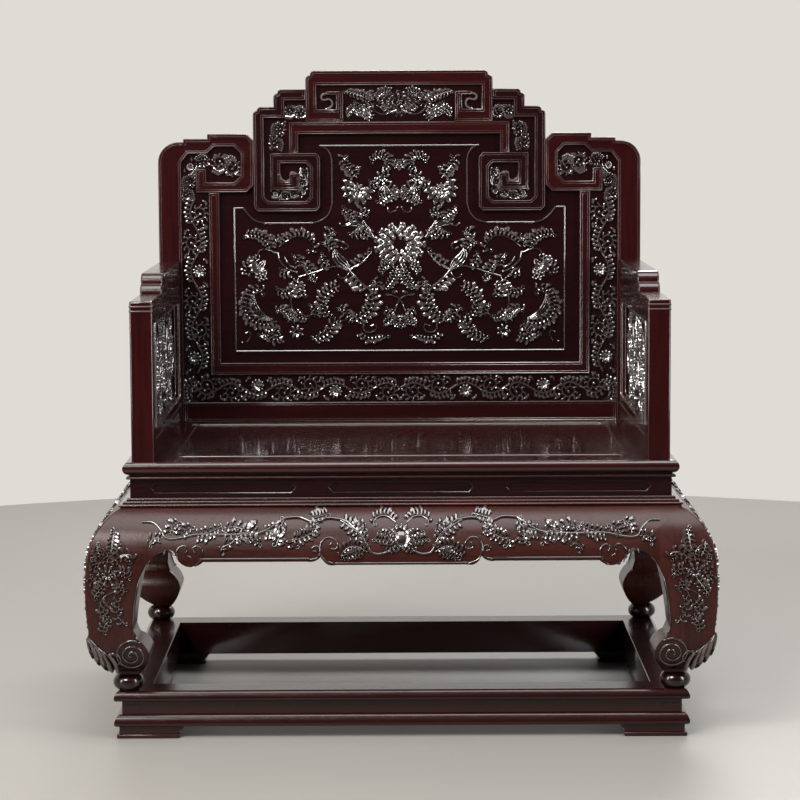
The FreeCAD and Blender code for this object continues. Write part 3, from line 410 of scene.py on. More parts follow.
def make_stroke(name, segments, rings, shape):
    """A ball drawn out along X and shaped by a function, with its root at zero and its tip at one."""
    bm = bmesh.new()
    bmesh.ops.create_uvsphere(bm, u_segments=segments, v_segments=rings, radius=0.5)
    bmesh.ops.rotate(bm, verts=bm.verts, cent=(0, 0, 0), matrix=Matrix.Rotation(math.radians(90), 3, "Y"))
    for vert in bm.verts:
        vert.co = shape(vert.co.x + 0.5, vert.co.y * 2, vert.co.z * 2)
        # The underside is pressed flat, because it sits on the ground of the carving
        vert.co.z = max(vert.co.z, -STROKE_SINK)
    return as_mesh(bm, name)


def comma(bend):
    """A hooked lobe: a round ridge that turns to one side and grows broader towards its tip."""
    def shape(along, across, up):
        turn = HOOK_TURN * along
        even = max(0.3, math.sqrt(1 - (2 * along - 1) ** 2 + 1e-9)) ** 0.6
        width = across / even * (0.14 + 0.16 * along)
        ahead = (0.5 - width) * math.sin(turn)
        aside = 0.5 - (0.5 - width) * math.cos(turn)
        return Vector((ahead, bend * aside, up / even * (0.65 + 0.35 * along)))
    return shape


def petal(along, across, up):
    """A pointed petal with a groove down its middle and a lifted tip."""
    full = math.sin(math.pi * (0.12 + 0.8 * along)) ** 0.8
    groove = 1 - 0.55 * math.exp(-((across / 0.3) ** 2)) * (1 - along)
    return Vector((along, across * 0.28 * full, up * groove * (0.45 + 0.6 * along)))


def bead(along, across, up):
    """A plain round grain, for curled tips and seeds."""
    return Vector((along - 0.5, across / 2, up / 2))


strokes = {
    "left": make_stroke("lobe_left", 6, 8, comma(1)),
    "right": make_stroke("lobe_right", 6, 8, comma(-1)),
    "petal": make_stroke("petal", 8, 6, petal),
    "bead": make_stroke("bead", 8, 5, bead),
}
print("strokes:", {name: len(mesh.polygons) for name, mesh in strokes.items()})

# %% Lines to carve along
STEPS = 8


def handles(points):
    """The left and right handles that make a smooth line through points, as Vectors."""
    last = len(points) - 1
    pairs = []
    for i, point in enumerate(points):
        before, after = points[max(i - 1, 0)], points[min(i + 1, last)]
        lean = after - before
        reach_back = (point - before).length / 3
        reach_on = (after - point).length / 3
        lean = lean.normalized() if lean.length else Vector((1, 0, 0))
        pairs.append((point - lean * reach_back, point + lean * reach_on))
    return pairs


class Line:
    """A smooth line through points of the board that can be asked for places along it."""

    def __init__(self, points):
        self.knots = [Vector((p[0], p[1], 0)) for p in points]
        self.handles = handles(self.knots)
        self.trail = []
        for i in range(len(self.knots) - 1):
            run = interpolate_bezier(
                self.knots[i], self.handles[i][1], self.handles[i + 1][0], self.knots[i + 1], STEPS
            )
            self.trail += run if i == 0 else run[1:]
        self.reached = [0.0]
        for a, b in zip(self.trail, self.trail[1:]):
            self.reached.append(self.reached[-1] + (b - a).length)
        self.length = self.reached[-1]

    def at(self, share):
        """The place and the heading, an angle, at a share of the line's length."""
        goal = min(max(share, 0), 1) * self.length
        i = 0
        while i < len(self.reached) - 2 and self.reached[i + 1] < goal:
            i += 1
        a, b = self.trail[i], self.trail[i + 1]
        span = self.reached[i + 1] - self.reached[i] or 1
        way = b - a
        return a + way * ((goal - self.reached[i]) / span), math.atan2(way.y, way.x)

    def beside(self, share, offset):
        """A point at a share of the line, moved to its left by an offset."""
        spot, heading = self.at(share)
        return (spot.x - math.sin(heading) * offset, spot.y + math.cos(heading) * offset)


def around(centre, radius, turn, squash=1.0):
    """The point at a radius and an angle from a centre, on a circle or a squashed one."""
    return (centre[0] + radius * math.cos(turn), centre[1] + radius * math.sin(turn) * squash)


def spiral(centre, start, end, angle, turns):
    """Points of a curl that winds in from one radius to another."""
    steps = max(4, round(abs(turns) * 12))
    points = []
    for i in range(steps + 1):
        share = i / steps
        turn = math.radians(angle) + 2 * math.pi * turns * share
        points.append(around(centre, start + (end - start) * share, turn))
    return points


def moved(points, across, down=0):
    """Points of a pattern, moved towards the middle and down."""
    return [(x - across, z - down) for x, z in points]


# %% The carver
LEFT, BOTH, RIGHT = 1, 0, -1
LOBE_OF = {LEFT: "left", RIGHT: "right"}
WHOLE_TURN = 360
GOLDEN_TURN = 2.39996
STEM_RISE = 0.8
CURL = 0.26
# Share of the relief's height at which the paler crest colour, partly wear and partly a painted highlight,
# is full
CREST_SHARE = 0.85


class Carving:
    """A flat board, in millimetres, that strokes and stems are laid on.

    Its relief is the height of a stroke, and its fullness the size of lobes against a frond's reach.
    """

    def __init__(self, relief=4.5, finish="relief", fullness=1.5):
        self.relief = relief
        self.finish = finish
        self.fullness = fullness
        self.bm = bmesh.new()
        self.stems = []

    def stroke(self, kind, spot, heading, length, rise=None, wide=1.0):
        """One stroke with its root at a spot."""
        mesh = strokes[kind].copy()
        mesh.transform(
            Matrix.Translation((spot[0], spot[1], 0))
            @ Matrix.Rotation(heading, 4, "Z")
            @ Matrix.Diagonal((length, length * wide, rise or self.relief, 1))
        )
        self.bm.from_mesh(mesh)
        bpy.data.meshes.remove(mesh)

    def stem(self, points, thick, thin, tip=True, belly=False):
        """A round stem that tapers to its end, with a curled tip as a bead."""
        line = Line(points)
        self.stems.append((line, thick, thin, belly))
        if tip:
            end, heading = line.at(1)
            self.stroke("bead", end, heading, thin * 3.2, thin * 3.6)
        return line

    def row(self, line, side, size, lobes):
        """Lobes along one side of a line, fullest in its middle, that curl back towards its root."""
        for number in range(lobes):
            share = 0.04 + 0.92 * (number + 0.5) / lobes
            spot, heading = line.at(share)
            lean = math.radians(48 + 14 * share) * side
            reach = size * (0.6 + 0.5 * math.sin(math.pi * share ** 0.8)) * (1 - 0.18 * (number % 2))
            self.stroke(LOBE_OF[side], spot, heading + lean, reach)

    def frond(self, points, reach, lobes=None, side=BOTH):
        """A leaf scroll: a rib that ends in a curl, with full lobes outside its bend, small ones inside."""
        rib = max(1.2, reach * 0.15)
        line = self.stem(points, rib, rib * 0.7, tip=False)
        lobes = lobes or round(line.length / reach * 1.35)
        start, middle, end = line.at(0)[0], line.at(0.5)[0], line.at(1)[0]
        inside = LEFT if (middle - start).cross(end - middle).z > 0 else RIGHT
        size = reach * self.fullness
        if side in (BOTH, -inside):
            self.row(line, -inside, size * 1.1, max(2, lobes))
        if side in (BOTH, inside):
            self.row(line, inside, size * 0.8, max(2, round(lobes * 0.85)))
        round_in = size * CURL
        centre = line.beside(1, round_in * inside)
        begin = math.degrees(line.at(1)[1]) - 90 * inside
        self.stem(spiral(centre, round_in, round_in * 0.45, begin, 0.7 * inside), rib * 0.9, rib * 0.8)

    def leaf(self, points, width, ribs):
        """A long leaf of ridges side by side that meet at its ends."""
        line = Line(points)
        for number in range(ribs):
            offset = width * (number / (ribs - 1) - 0.5)
            ridge = [
                line.beside(share, offset * math.sin(math.pi * (0.06 + 0.86 * share)))
                for share in (0, 0.16, 0.33, 0.5, 0.67, 0.84, 1)
            ]
            self.stem(ridge, width / ribs * 0.55, width / ribs * 0.4, tip=False, belly=True)

    def ring(
        self, centre, radius, length, petals, facing=0, fan=WHOLE_TURN, rise=None, squash=1.0, wide=1.0,
    ):
        """Petals round a centre, over a whole turn or a fan, with their roots on a radius."""
        for number in range(petals):
            share = number / petals if fan >= WHOLE_TURN else number / (petals - 1) - 0.5
            turn = math.radians(facing + fan * share)
            heading = math.atan2(math.sin(turn) * squash, math.cos(turn))
            self.stroke("petal", around(centre, radius, turn, squash), heading, length, rise, wide)

    def seeds(self, centre, radius, count, size, rise):
        """Round grains spread evenly over a disc, as on a lotus head."""
        for number in range(count):
            share = math.sqrt((number + 0.5) / count)
            self.stroke("bead", around(centre, radius * share, number * GOLDEN_TURN), 0, size, rise)

    def frill(self, centre, radius, length, count, rise, squash):
        """A ring of hooked lobes round a centre, in pairs that curl towards each other."""
        for number in range(count):
            turn = 2 * math.pi * (number + 0.5) / count
            side = LEFT if number % 2 else RIGHT
            self.stroke(LOBE_OF[side], around(centre, radius, turn, squash), turn, length, rise)

    def lotus(self, centre, size, facing, fan):
        """A flower from the side: two fans of petals under a ring and a seed head."""
        self.ring(centre, size * 0.36, size * 0.66, 8, facing, fan)
        self.ring(centre, size * 0.2, size * 0.46, 7, facing, fan * 1.1, self.relief * 1.5)
        self.ring(centre, size * 0.05, size * 0.32, 7, facing, rise=self.relief * 1.8)
        self.seeds(centre, size * 0.2, 9, size * 0.13, self.relief * 3.6)

    def rosette(self, centre, size, squash):
        """A full flower from the front: rings of short petals with a frilled edge round a hollow heart."""
        self.frill(centre, size * 0.78, size * 0.30, 26, self.relief * 0.9, squash)
        for root, length, petals, facing, rise in (
            (0.56, 0.36, 17, 0, 1.0), (0.38, 0.34, 13, 12, 1.3), (0.22, 0.28, 9, 5, 1.6),
        ):
            self.ring(
                centre, size * root, size * length, petals, facing, rise=self.relief * rise,
                squash=squash, wide=1.3,
            )

    def draw_stems(self):
        """Turns all the stems drawn so far into tubes and adds them to the board."""
        curve = bpy.data.curves.new("stems", "CURVE")
        curve.dimensions = "3D"
        curve.bevel_depth = 1
        curve.bevel_resolution = 1
        curve.resolution_u = 5
        curve.use_fill_caps = True
        for line, thick, thin, belly in self.stems:
            spline = curve.splines.new("BEZIER")
            last = len(line.knots) - 1
            spline.bezier_points.add(last)
            for i, point in enumerate(spline.bezier_points):
                share = i / last
                radius = thick + (thin - thick) * share
                if belly:
                    radius *= 0.5 + 0.6 * math.sin(math.pi * share)
                lift = Vector((0, 0, radius * STEM_RISE))
                point.handle_left_type = point.handle_right_type = "FREE"
                point.co = line.knots[i] + lift
                point.handle_left = line.handles[i][0] + lift
                point.handle_right = line.handles[i][1] + lift
                point.radius = radius
        mesh = drawn_mesh(add_object("stems", curve))
        self.bm.from_mesh(mesh)
        bpy.data.curves.remove(curve)
        bpy.data.meshes.remove(mesh)

    def set_in(self, name, where, mirrored=False, slot="carved_wood", axis=X):
        """Sets the board in its field and keeps it as a piece; where is a matrix or moves the points."""
        self.draw_stems()
        # Strokes turn paler by height towards their ridge tops: partly wear, partly a painted highlight
        crest = self.bm.verts.layers.float.new("crest")
        for vert in self.bm.verts:
            vert[crest] = min(1, max(0, vert.co.z / (self.relief * CREST_SHARE))) ** 4
        if mirrored:
            everything = self.bm.verts[:] + self.bm.edges[:] + self.bm.faces[:]
            bmesh.ops.mirror(self.bm, geom=everything, matrix=Matrix.Identity(4), merge_dist=0.0, axis="X")
        if isinstance(where, Matrix):
            bmesh.ops.transform(self.bm, matrix=where, verts=self.bm.verts)
        else:
            where(self.bm)
        bmesh.ops.recalc_face_normals(self.bm, faces=self.bm.faces)
        print(name, sum(len(face.verts) - 2 for face in self.bm.faces), "triangles")
        crease(self.bm, CARVED_CREASE)
        keep(self.bm, name, slot, axis, finish=self.finish)


def facing_front(depth):
    """The matrix that stands a flat board up facing the front, with its ground at a depth in mm."""
    return (
        Matrix.Translation((0, depth * MM, 0))
        @ Matrix.Rotation(math.radians(90), 4, "X")
        @ Matrix.Scale(MM, 4)
    )


# %% [markdown]
# ## The centre panel
# A vine with lotus flowers grows from the foot of the panel to both sides, with a full flower in the
# middle and a pair of smaller ones above it. It is drawn for the right half, in millimetres across and
# up from the floor, and mirrored, as a carver turns the paper pattern over.

# %% The pattern of the panel
# Fronds: reach of the lobes, their side of the rib, points of the rib
PANEL_FRONDS = (
    (11, BOTH, ((107, 669), (119, 669), (130, 662), (137, 648), (151, 639), (168, 633))),
    (13, BOTH, ((58, 729), (52, 712), (58, 693), (72, 678), (90, 668))),
    (10, LEFT, ((76, 650), (64, 639), (47, 639), (34, 641), (24, 635))),
    (9, BOTH, ((224, 639), (241, 635), (255, 643), (270, 639))),
    (8, BOTH, ((258, 649), (243, 655), (230, 650))),
    (11, BOTH, ((236, 668), (262, 664), (284, 673), (295, 691), (293, 712),
        (281, 728), (267, 730), (260, 721))),
    (11, BOTH, ((115, 736), (132, 729), (145, 716), (149, 701), (141, 684), (134, 676))),
    (15, LEFT, ((94, 761), (79, 746), (60, 729))),
    (9, BOTH, ((58, 731), (45, 733), (44, 743), (52, 746))),
    (9, BOTH, ((126, 804), (134, 815), (147, 820))),
    (9, BOTH, ((128, 826), (134, 838), (124, 840))),
    (9, BOTH, ((134, 776), (143, 780), (147, 789), (151, 796))),
    (14, RIGHT, ((92, 770), (77, 778), (64, 789), (54, 800))),
    (10, BOTH, ((170, 762), (177, 773), (185, 778))),
    (9, BOTH, ((191, 769), (194, 785), (202, 796))),
    (10, BOTH, ((194, 751), (202, 737), (213, 725), (226, 724), (237, 729))),
    (11, RIGHT, ((232, 811), (217, 822), (202, 830), (185, 831), (173, 823), (165, 810), (173, 800))),
    (10, BOTH, ((247, 804), (253, 820), (266, 831), (283, 835), (297, 833))),
    (8, BOTH, ((245, 815), (238, 828), (229, 827))),
    (9, BOTH, ((4, 774), (13, 751), (31, 728))),
    (8, BOTH, ((18, 778), (31, 771), (36, 759))),
    (8, BOTH, ((11, 685), (20, 684), (27, 692))),
    (8, BOTH, ((7, 668), (21, 668), (31, 660))),
    (7, BOTH, ((4, 682), (6, 668), (2, 655))),
    (12, BOTH, ((193, 742), (193, 729), (185, 715))),
    (7, BOTH, ((175, 755), (167, 751), (162, 744))),
    (9, BOTH, ((211, 764), (220, 761), (230, 766))),
    (9, LEFT, ((268, 789), (283, 780), (295, 770), (292, 757))),
    (9, BOTH, ((204, 689), (192, 677), (177, 674))),
    (9, BOTH, ((164, 676), (163, 689), (171, 701))),
    (9, BOTH, ((90, 668), (100, 678), (107, 691), (119, 693))),
    (9, BOTH, ((207, 667), (217, 684), (230, 693), (238, 687))),
    (10, BOTH, ((81, 942), (90, 955), (101, 967), (108, 978), (102, 985))),
    (8, LEFT, ((85, 955), (79, 966), (74, 962))),
    (8, BOTH, ((30, 956), (21, 968), (24, 981), (37, 985), (49, 980), (54, 972))),
    (7, BOTH, ((9, 960), (5, 970), (8, 978))),
    (10, BOTH, ((26, 930), (17, 917), (28, 903), (41, 894))),
    (9, BOTH, ((15, 908), (7, 916), (4, 923))),
    (9, BOTH, ((83, 864), (98, 875), (109, 885))),
    (9, BOTH, ((81, 864), (77, 875), (68, 877), (60, 870))),
    (10, BOTH, ((54, 830), (68, 836), (83, 833), (95, 838))),
    (8, BOTH, ((39, 934), (49, 931), (58, 934))),
)
# Leaves: width, number of ridges, points of the middle line
PANEL_LEAVES = (
    (13, 4, ((245, 671), (268, 680), (281, 699), (282, 721))),
    (17, 4, ((97, 766), (107, 778), (119, 789), (125, 806))),
    (9, 3, ((207, 668), (215, 683), (227, 693))),
    (10, 3, ((51, 828), (62, 844), (81, 855), (102, 854))),
    (9, 3, ((272, 770), (264, 778), (258, 785))),
    (11, 3, ((28, 928), (34, 911), (26, 898))),
)
# Stems: radius at the root and at the tip, points of the line
PANEL_STEMS = (
    (2.6, 1.8, ((97, 766), (79, 746), (60, 730), (52, 712), (58, 693), (72, 677), (92, 667))),
    (2.4, 1.2, ((71, 665), (69, 650), (57, 646), (46, 653), (49, 661), (56, 659))),
    (2.0, 1.4, ((294, 629), (288, 640), (290, 648), (297, 646))),
    (2.2, 1.4, ((209, 723), (209, 699), (204, 684), (204, 665))),
    (2.8, 1.4, ((145, 838), (140, 826), (126, 825), (109, 820), (99, 812), (105, 806), (111, 809))),
    (2.4, 1.6, ((97, 766), (119, 773), (141, 770), (162, 763), (193, 754))),
    (2.6, 1.8, ((234, 800), (230, 785), (215, 770), (198, 763))),
    (2.2, 1.5, ((221, 791), (213, 778), (200, 771))),
    (2.2, 1.4, ((247, 804), (238, 800), (234, 800))),
    (2.8, 2.0, ((50, 828), (58, 842), (69, 859))),
    (2.4, 1.4, ((50, 828), (66, 850), (88, 857), (107, 850), (114, 855))),
    (2.2, 1.4, ((96, 767), (77, 776), (66, 785))),
    (2.2, 1.5, ((28, 720), (13, 717), (1, 710), (-8, 693), (-13, 678))),
    (2.0, 1.3, ((24, 888), (20, 877), (8, 879), (4, 886))),
    (2.2, 1.5, ((31, 930), (22, 921), (14, 911))),
    (2.0, 1.4, ((32, 954), (31, 961), (30, 964))),
    (2.0, 1.4, ((268, 791), (271, 800), (262, 806), (247, 804))),
    (2.0, 1.2, ((96, 763), (105, 751), (116, 752), (118, 757))),
)


# %% Carve the panel
PANEL_GROUND = face_of("back_panel", LOW, Y)
panel = Carving(relief=6.5, fullness=1.45)
for reach, side, points in PANEL_FRONDS:
    panel.frond(points, reach, side=side)
for width, ribs, points in PANEL_LEAVES:
    panel.leaf(points, width, ribs)
for thick, thin, points in PANEL_STEMS:
    panel.stem(points, thick, thin)
panel.lotus((79, 922), size=34, facing=290, fan=200)
panel.ring((33, 942), radius=6, length=11, petals=7)
panel.ring((33, 942), radius=1, length=7, petals=6, facing=20, rise=8)
panel.ring((199, 648), radius=3, length=12, petals=7)
panel.ring((268, 776), radius=4, length=20, petals=6, facing=310, fan=150)
panel.seeds((265, 756), radius=12, count=15, size=5.5, rise=11)
panel.stroke("bead", (304, 628), heading=0, length=5, rise=8)
panel.stroke("petal", (16, 723), heading=math.radians(170), length=13)
panel.set_in("back_panel_carving", facing_front(PANEL_GROUND), mirrored=True)
flower = Carving(relief=5.0)
flower.rosette((0, 815), size=50, squash=0.8)
flower.set_in("back_panel_flower", facing_front(PANEL_GROUND))

# %% [markdown]
# ## Borders of the back
# The sunk borders round the panel are filled with a narrow vine that sways from edge to edge, with a curl
# or a small flower in each hollow, and a leaf turns the lower corners. The vine repeats, so it is grown
# along a line instead of drawn leaf by leaf.

# %% Grow a vine along a line
FLOWER_EVERY = 3


def vine(board, points, half, pitch):
    """A swaying stem in a field of a half width, with a curl or flower and loose lobes in each hollow."""
    line = Line(points)
    count = max(2, round(line.length / pitch))
    sway, thick, lobe = half * 0.44, half * 0.1, half * 0.6
    steps = 4 * count
    path = [line.beside(i / steps, sway * math.sin(math.pi * i / 4)) for i in range(steps + 1)]
    board.stem(path, thick, thick, tip=False)
    for number in range(count):
        share = (number + 0.5) / count
        bulge = RIGHT if number % 2 else LEFT
        turn = line.at(share)[1]
        heading = math.degrees(turn)
        hollow = line.beside(share, -bulge * half * 0.26)
        if number % FLOWER_EVERY == FLOWER_EVERY - 1:
            board.ring(hollow, half * 0.18, half * 0.44, 10, heading)
            board.ring(hollow, half * 0.02, half * 0.32, 7, heading, rise=board.relief * 1.6)
        else:
            winding = spiral(hollow, half * 0.72, half * 0.14, heading + 90 * bulge, -bulge * 1.4)
            curl = board.stem(winding, thick, half * 0.08)
            board.row(curl, bulge, half * 0.44, 11)
        for step in (-0.45, -0.3, -0.15, 0.0, 0.15, 0.3):
            root = line.beside(share + step / count, bulge * half * (0.44 - 0.6 * abs(step)))
            board.stroke(LOBE_OF[bulge], root, turn + bulge * math.radians(50), lobe)
        for step in (-0.42, 0.4):
            root = line.beside(share + step / count, -bulge * half * 0.55)
            board.stroke(LOBE_OF[bulge], root, turn - bulge * math.radians(100), lobe)


# %% The vines of the back
# Vines: half width of the field, pitch of the hollows, points of the line
BORDER_VINES = (
    (23, 52, ((390, 905), (390, 570))),
    (23, 52, ((392, 556), (380, 540), (355, 539), (0, 539))),
)
BORDER_CORNER = ((391, 556), (404, 548), (409, 534), (406, 519), (396, 511))
SHOULDER_VINES = (
    (13, 26, ((402, 898), (404, 930), (399, 958), (384, 975), (362, 980))),
    (20, 24, ((356, 968), (332, 968), (308, 968))),
)
EAR_VINES = (
    (14, 24, ((233, 994), (233, 1022), (230, 1050))),
    (13, 22, ((218, 1064), (200, 1068), (178, 1070))),
    (9, 17, ((183, 962), (182, 938), (186, 916), (206, 911), (246, 911))),
)


def vines_on(board, vines):
    """A board with vines on it."""
    for half, pitch, points in vines:
        vine(board, points, half, pitch)
    return board


# %% Carve the borders, the shoulders and the ears
EAR_SUNK = 6.0
BACK_FRONT = face_of("back_left_fret", LOW, Y)
BORDER_GROUND = face_of("back_bottom_border", LOW, Y)
EAR_GROUND = BACK_FRONT + EAR_SUNK
borders = vines_on(Carving(relief=6.0), BORDER_VINES)
borders.frond(BORDER_CORNER, reach=9)
borders.set_in("back_border_carving", facing_front(BORDER_GROUND), mirrored=True)
shoulders = vines_on(Carving(relief=5.0), SHOULDER_VINES)
shoulders.set_in("back_shoulder_carving", facing_front(BORDER_GROUND), mirrored=True)
ears = vines_on(Carving(relief=4.6), EAR_VINES)
ears.set_in("back_ear_carving", facing_front(EAR_GROUND), mirrored=True)

# %% [markdown]
# ## The crest
# The crest panel has a low oval bloom with a frilled edge in its middle, and two sprays of leaves that
# run out to the hooks at its ends. The sprays are drawn once and mirrored. The bloom stands on the middle
# line, so it is a board of its own.

# %% The pattern of the crest
CREST_FRONDS = (
    (8, ((53, 1083), (59, 1091), (70, 1098), (84, 1101), (103, 1108))),
    (8, ((53, 1078), (63, 1074), (73, 1068), (84, 1064))),
    (8, ((64, 1073), (77, 1077), (86, 1085))),
    (7, ((84, 1077), (92, 1069), (99, 1060))),
    (7, ((49, 1092), (55, 1100), (63, 1104))),
    (7, ((13, 1105), (27, 1106), (38, 1100), (43, 1091))),
    (6, ((54, 1066), (58, 1060), (67, 1058))),
    (6, ((23, 1069), (28, 1075), (35, 1078))),
)
CREST_STEMS = (
    (1.9, 1.1, ((5, 1071), (18, 1066), (29, 1063), (41, 1066), (50, 1074), (50, 1081),
        (45, 1083), (42, 1079))),
    (1.7, 1.0, ((49, 1075), (54, 1085), (62, 1093), (75, 1099), (100, 1107))),
)

# %% Carve the crest
spray = Carving(relief=4.8)
for reach, points in CREST_FRONDS:
    spray.frond(points, reach)
for thick, thin, points in CREST_STEMS:
    spray.stem(points, thick, thin)
spray.set_in("back_crest_carving", facing_front(BORDER_GROUND), mirrored=True)
HEART, CALYX, OVAL = (0, 1086), (0, 1072), 0.5
bloom = Carving(5.2, "bulging_relief")
bloom.frill(HEART, radius=33, length=9, count=24, rise=4.2, squash=OVAL)
bloom.ring(HEART, radius=22, length=13, petals=19, rise=3.6, squash=OVAL)
bloom.ring(HEART, radius=11, length=13, petals=13, facing=9, rise=4.6, squash=OVAL)
bloom.seeds(HEART, radius=6, count=9, size=4, rise=9)
bloom.ring(CALYX, radius=4, length=12, petals=4, facing=270, fan=120, rise=3.6)
bloom.set_in("back_crest_flower", facing_front(BORDER_GROUND))

# %% [markdown]
# ## Carving on curved wood
# The aprons and legs bulge, so a flat board would float in front of them. Each point of the board is
# sent straight at the solid and set on the wood it meets, raised along the wood's own slope. That keeps
# the carving seated from every side.

# %% Press a board onto a solid
START_OUT = 250 * MM
# How far from the chair's middle the boards stand before they are pressed on
FRONT_STAND, SIDE_STAND, FLANK_STAND, ARM_STAND = 400 * MM, 550 * MM, 560 * MM, 440 * MM
DEPTHS = {"front": Vector((0, -1, 0)), "rear": Vector((0, 1, 0))}
SIDES = {"left": Vector((-1, 0, 0)), "right": Vector((1, 0, 0))}


def pressed(names, spot, inward):
    """A move that sets the points of a board on solids, looking along a direction into them."""
    def move(bm):
        for vert in bm.verts:
            start = spot(vert.co.x * MM, vert.co.y * MM) - inward * START_OUT
            hits = [surfaces[name].ray_cast(start, inward) for name in names]
            # A hit is a place, a normal, a face and a distance
            hits = [hit for hit in hits if hit[0] is not None]
            if hits:
                seat, normal = min(hits, key=lambda hit: hit[3])[:2]
            else:
                seat, normal = surfaces[names[0]].find_nearest(start + inward * START_OUT)[:2]
            vert.co = seat + normal * (vert.co.z * MM)
    return move


# %% [markdown]
# ## Aprons
# A vine runs along each apron from a flower in the middle to the legs. The lower edge carries a bead that
# rolls up into a pair of scrolls at the notches and into a cloud scroll next to each leg. The side aprons
# are shorter, so they keep only the ends of the vine and the flower.

# %% The pattern of the aprons
# Fronds of the ends: reach of the lobes, their number, points of the rib
APRON_END_FRONDS = (
    (10, 6, ((350, 357), (328, 361), (306, 369))),
    (11, 7, ((238, 361), (265, 361), (288, 358), (301, 363))),
    (9, 4, ((261, 363), (281, 370), (300, 368))),
    (9, 4, ((265, 355), (251, 351), (237, 343))),
    (8, 4, ((271, 353), (288, 344), (300, 338), (304, 328))),
    (11, 6, ((234, 362), (220, 364), (205, 370), (199, 380))),
    (11, 5, ((220, 364), (208, 353), (211, 341))),
    (9, 4, ((391, 358), (387, 371), (376, 378))),
    (8, 4, ((403, 353), (419, 352), (425, 341))),
    (9, 4, ((374, 353), (366, 364), (353, 371))),
)
APRON_END_STEMS = (
    (1.6, 2.2, ((439, 378), (420, 377), (406, 365), (398, 353), (374, 353), (348, 358),
        (314, 358), (271, 358), (237, 361), (211, 374), (197, 383))),
    (1.8, 1.2, ((271, 358), (288, 344), (303, 337), (304, 327), (298, 327))),
)
# Fronds of the middle: reach of the lobes, their side of the rib, points of the rib
APRON_MIDDLE_FRONDS = (
    (10, BOTH, ((138, 368), (154, 358), (174, 350), (185, 349), (178, 336))),
    (9, BOTH, ((141, 376), (150, 366), (146, 357))),
    (9, BOTH, ((153, 381), (139, 385), (123, 389))),
    (11, BOTH, ((103, 379), (90, 372), (74, 360), (58, 342))),
    (8, BOTH, ((80, 366), (70, 370), (59, 366))),
    (10, BOTH, ((57, 329), (72, 337), (88, 337), (99, 328), (101, 319))),
    (8, BOTH, ((66, 326), (78, 326), (92, 320))),
    (8, LEFT, ((9, 376), (21, 385), (35, 386), (46, 380), (46, 373))),
    (9, BOTH, ((14, 349), (24, 355), (36, 362))),
    (8, BOTH, ((18, 345), (32, 348), (46, 350))),
    (7, BOTH, ((10, 338), (18, 336), (25, 340))),
)
APRON_MIDDLE_STEMS = (
    (2.0, 2.0, ((197, 383), (172, 384), (154, 378), (141, 377), (128, 382), (111, 382),
        (91, 377), (78, 366), (65, 355), (57, 340), (50, 329), (36, 326), (20, 331))),
    (1.6, 1.1, ((9, 376), (21, 384), (35, 385), (45, 380), (46, 373), (41, 373))),
)
# Beads of the lower edge: radius at the root and at the tip, points of the line
APRON_NOTCH_LINES = (
    (1.7, 1.4, ((114, 310), (130, 317), (137, 331), (134, 347), (122, 353),
        (110, 347), (108, 337), (116, 334), (122, 339), (118, 344))),
    (1.7, 1.4, ((154, 317), (141, 321), (136, 332), (142, 339), (150, 337), (150, 332), (145, 331))),
)
APRON_CLOUD_LINES = (
    (1.7, 1.4, ((394, 329), (381, 325), (376, 313), (361, 304), (347, 308),
        (338, 319), (336, 332), (344, 340), (352, 337), (350, 330))),
    (1.6, 1.3, ((380, 323), (378, 335), (368, 341), (361, 336), (363, 327), (356, 322))),
)

# %% Carve the aprons
# Half a side is this much shorter than half the front, and its notches stand closer to the middle
SIDE_SHORTER = face_of("base_right_rail", HIGH, X) - face_of("base_rear_rail", HIGH, Y)
NOTCH_CLOSER = 33
# The straight beads of the lower edge, from a cloud scroll to a notch and from there to the middle
EDGE_BEAD, EDGE_LEVEL, MIDDLE_LEVEL = 1.5, 319, 311
CLOUD_END, NOTCH_OUTER, NOTCH_INNER = 340, 155, 112
BUD = (263, 367)


def carve_apron(side, spot, inward, shift=0, notch=0):
    """Carves one apron; a short one has the ends of the pattern moved in and its middle left out."""
    name = "apron_" + side + "_carving"
    legs = sorted(node for node in nodes if node.startswith("leg_") and side in node)
    move = pressed(["apron_" + side] + legs, spot, inward)
    board = Carving(6.0, "bulging_relief", 1.45)
    for reach, lobes, points in APRON_END_FRONDS:
        board.frond(moved(points, shift), reach, lobes)
    for thick, thin, points in APRON_END_STEMS:
        board.stem(moved(points, shift), thick, thin, tip=False)
    for thick, thin, points in APRON_CLOUD_LINES:
        board.stem(moved(points, shift), thick, thin)
    for thick, thin, points in APRON_NOTCH_LINES:
        board.stem(moved(points, notch), thick, thin)
    for points in (
        ((CLOUD_END - shift, EDGE_LEVEL), (NOTCH_OUTER - notch, EDGE_LEVEL)),
        ((NOTCH_INNER - notch, MIDDLE_LEVEL), (0, MIDDLE_LEVEL)),
    ):
        board.stem(points, EDGE_BEAD, EDGE_BEAD, tip=False)
    if not shift:
        for reach, turn, points in APRON_MIDDLE_FRONDS:
            board.frond(points, reach, side=turn)
        for thick, thin, points in APRON_MIDDLE_STEMS:
            board.stem(points, thick, thin)
    board.stroke("petal", (BUD[0] - shift, BUD[1]), heading=math.radians(148), length=24, rise=9)
    board.set_in(name, move, mirrored=True)
    middle = Carving(5.0, "bulging_relief")
    middle.ring((0, 355), radius=8, length=14, petals=9, facing=90, fan=230, rise=4.5)
    middle.ring((0, 356), radius=5, length=12, petals=7, facing=90, fan=200, rise=6)
    middle.stroke("bead", (0, 352), heading=0, length=25, rise=7)
    middle.ring((0, 346), radius=5, length=12, petals=6, facing=270, fan=170, rise=5)
    middle.set_in(name + "_flower", move)


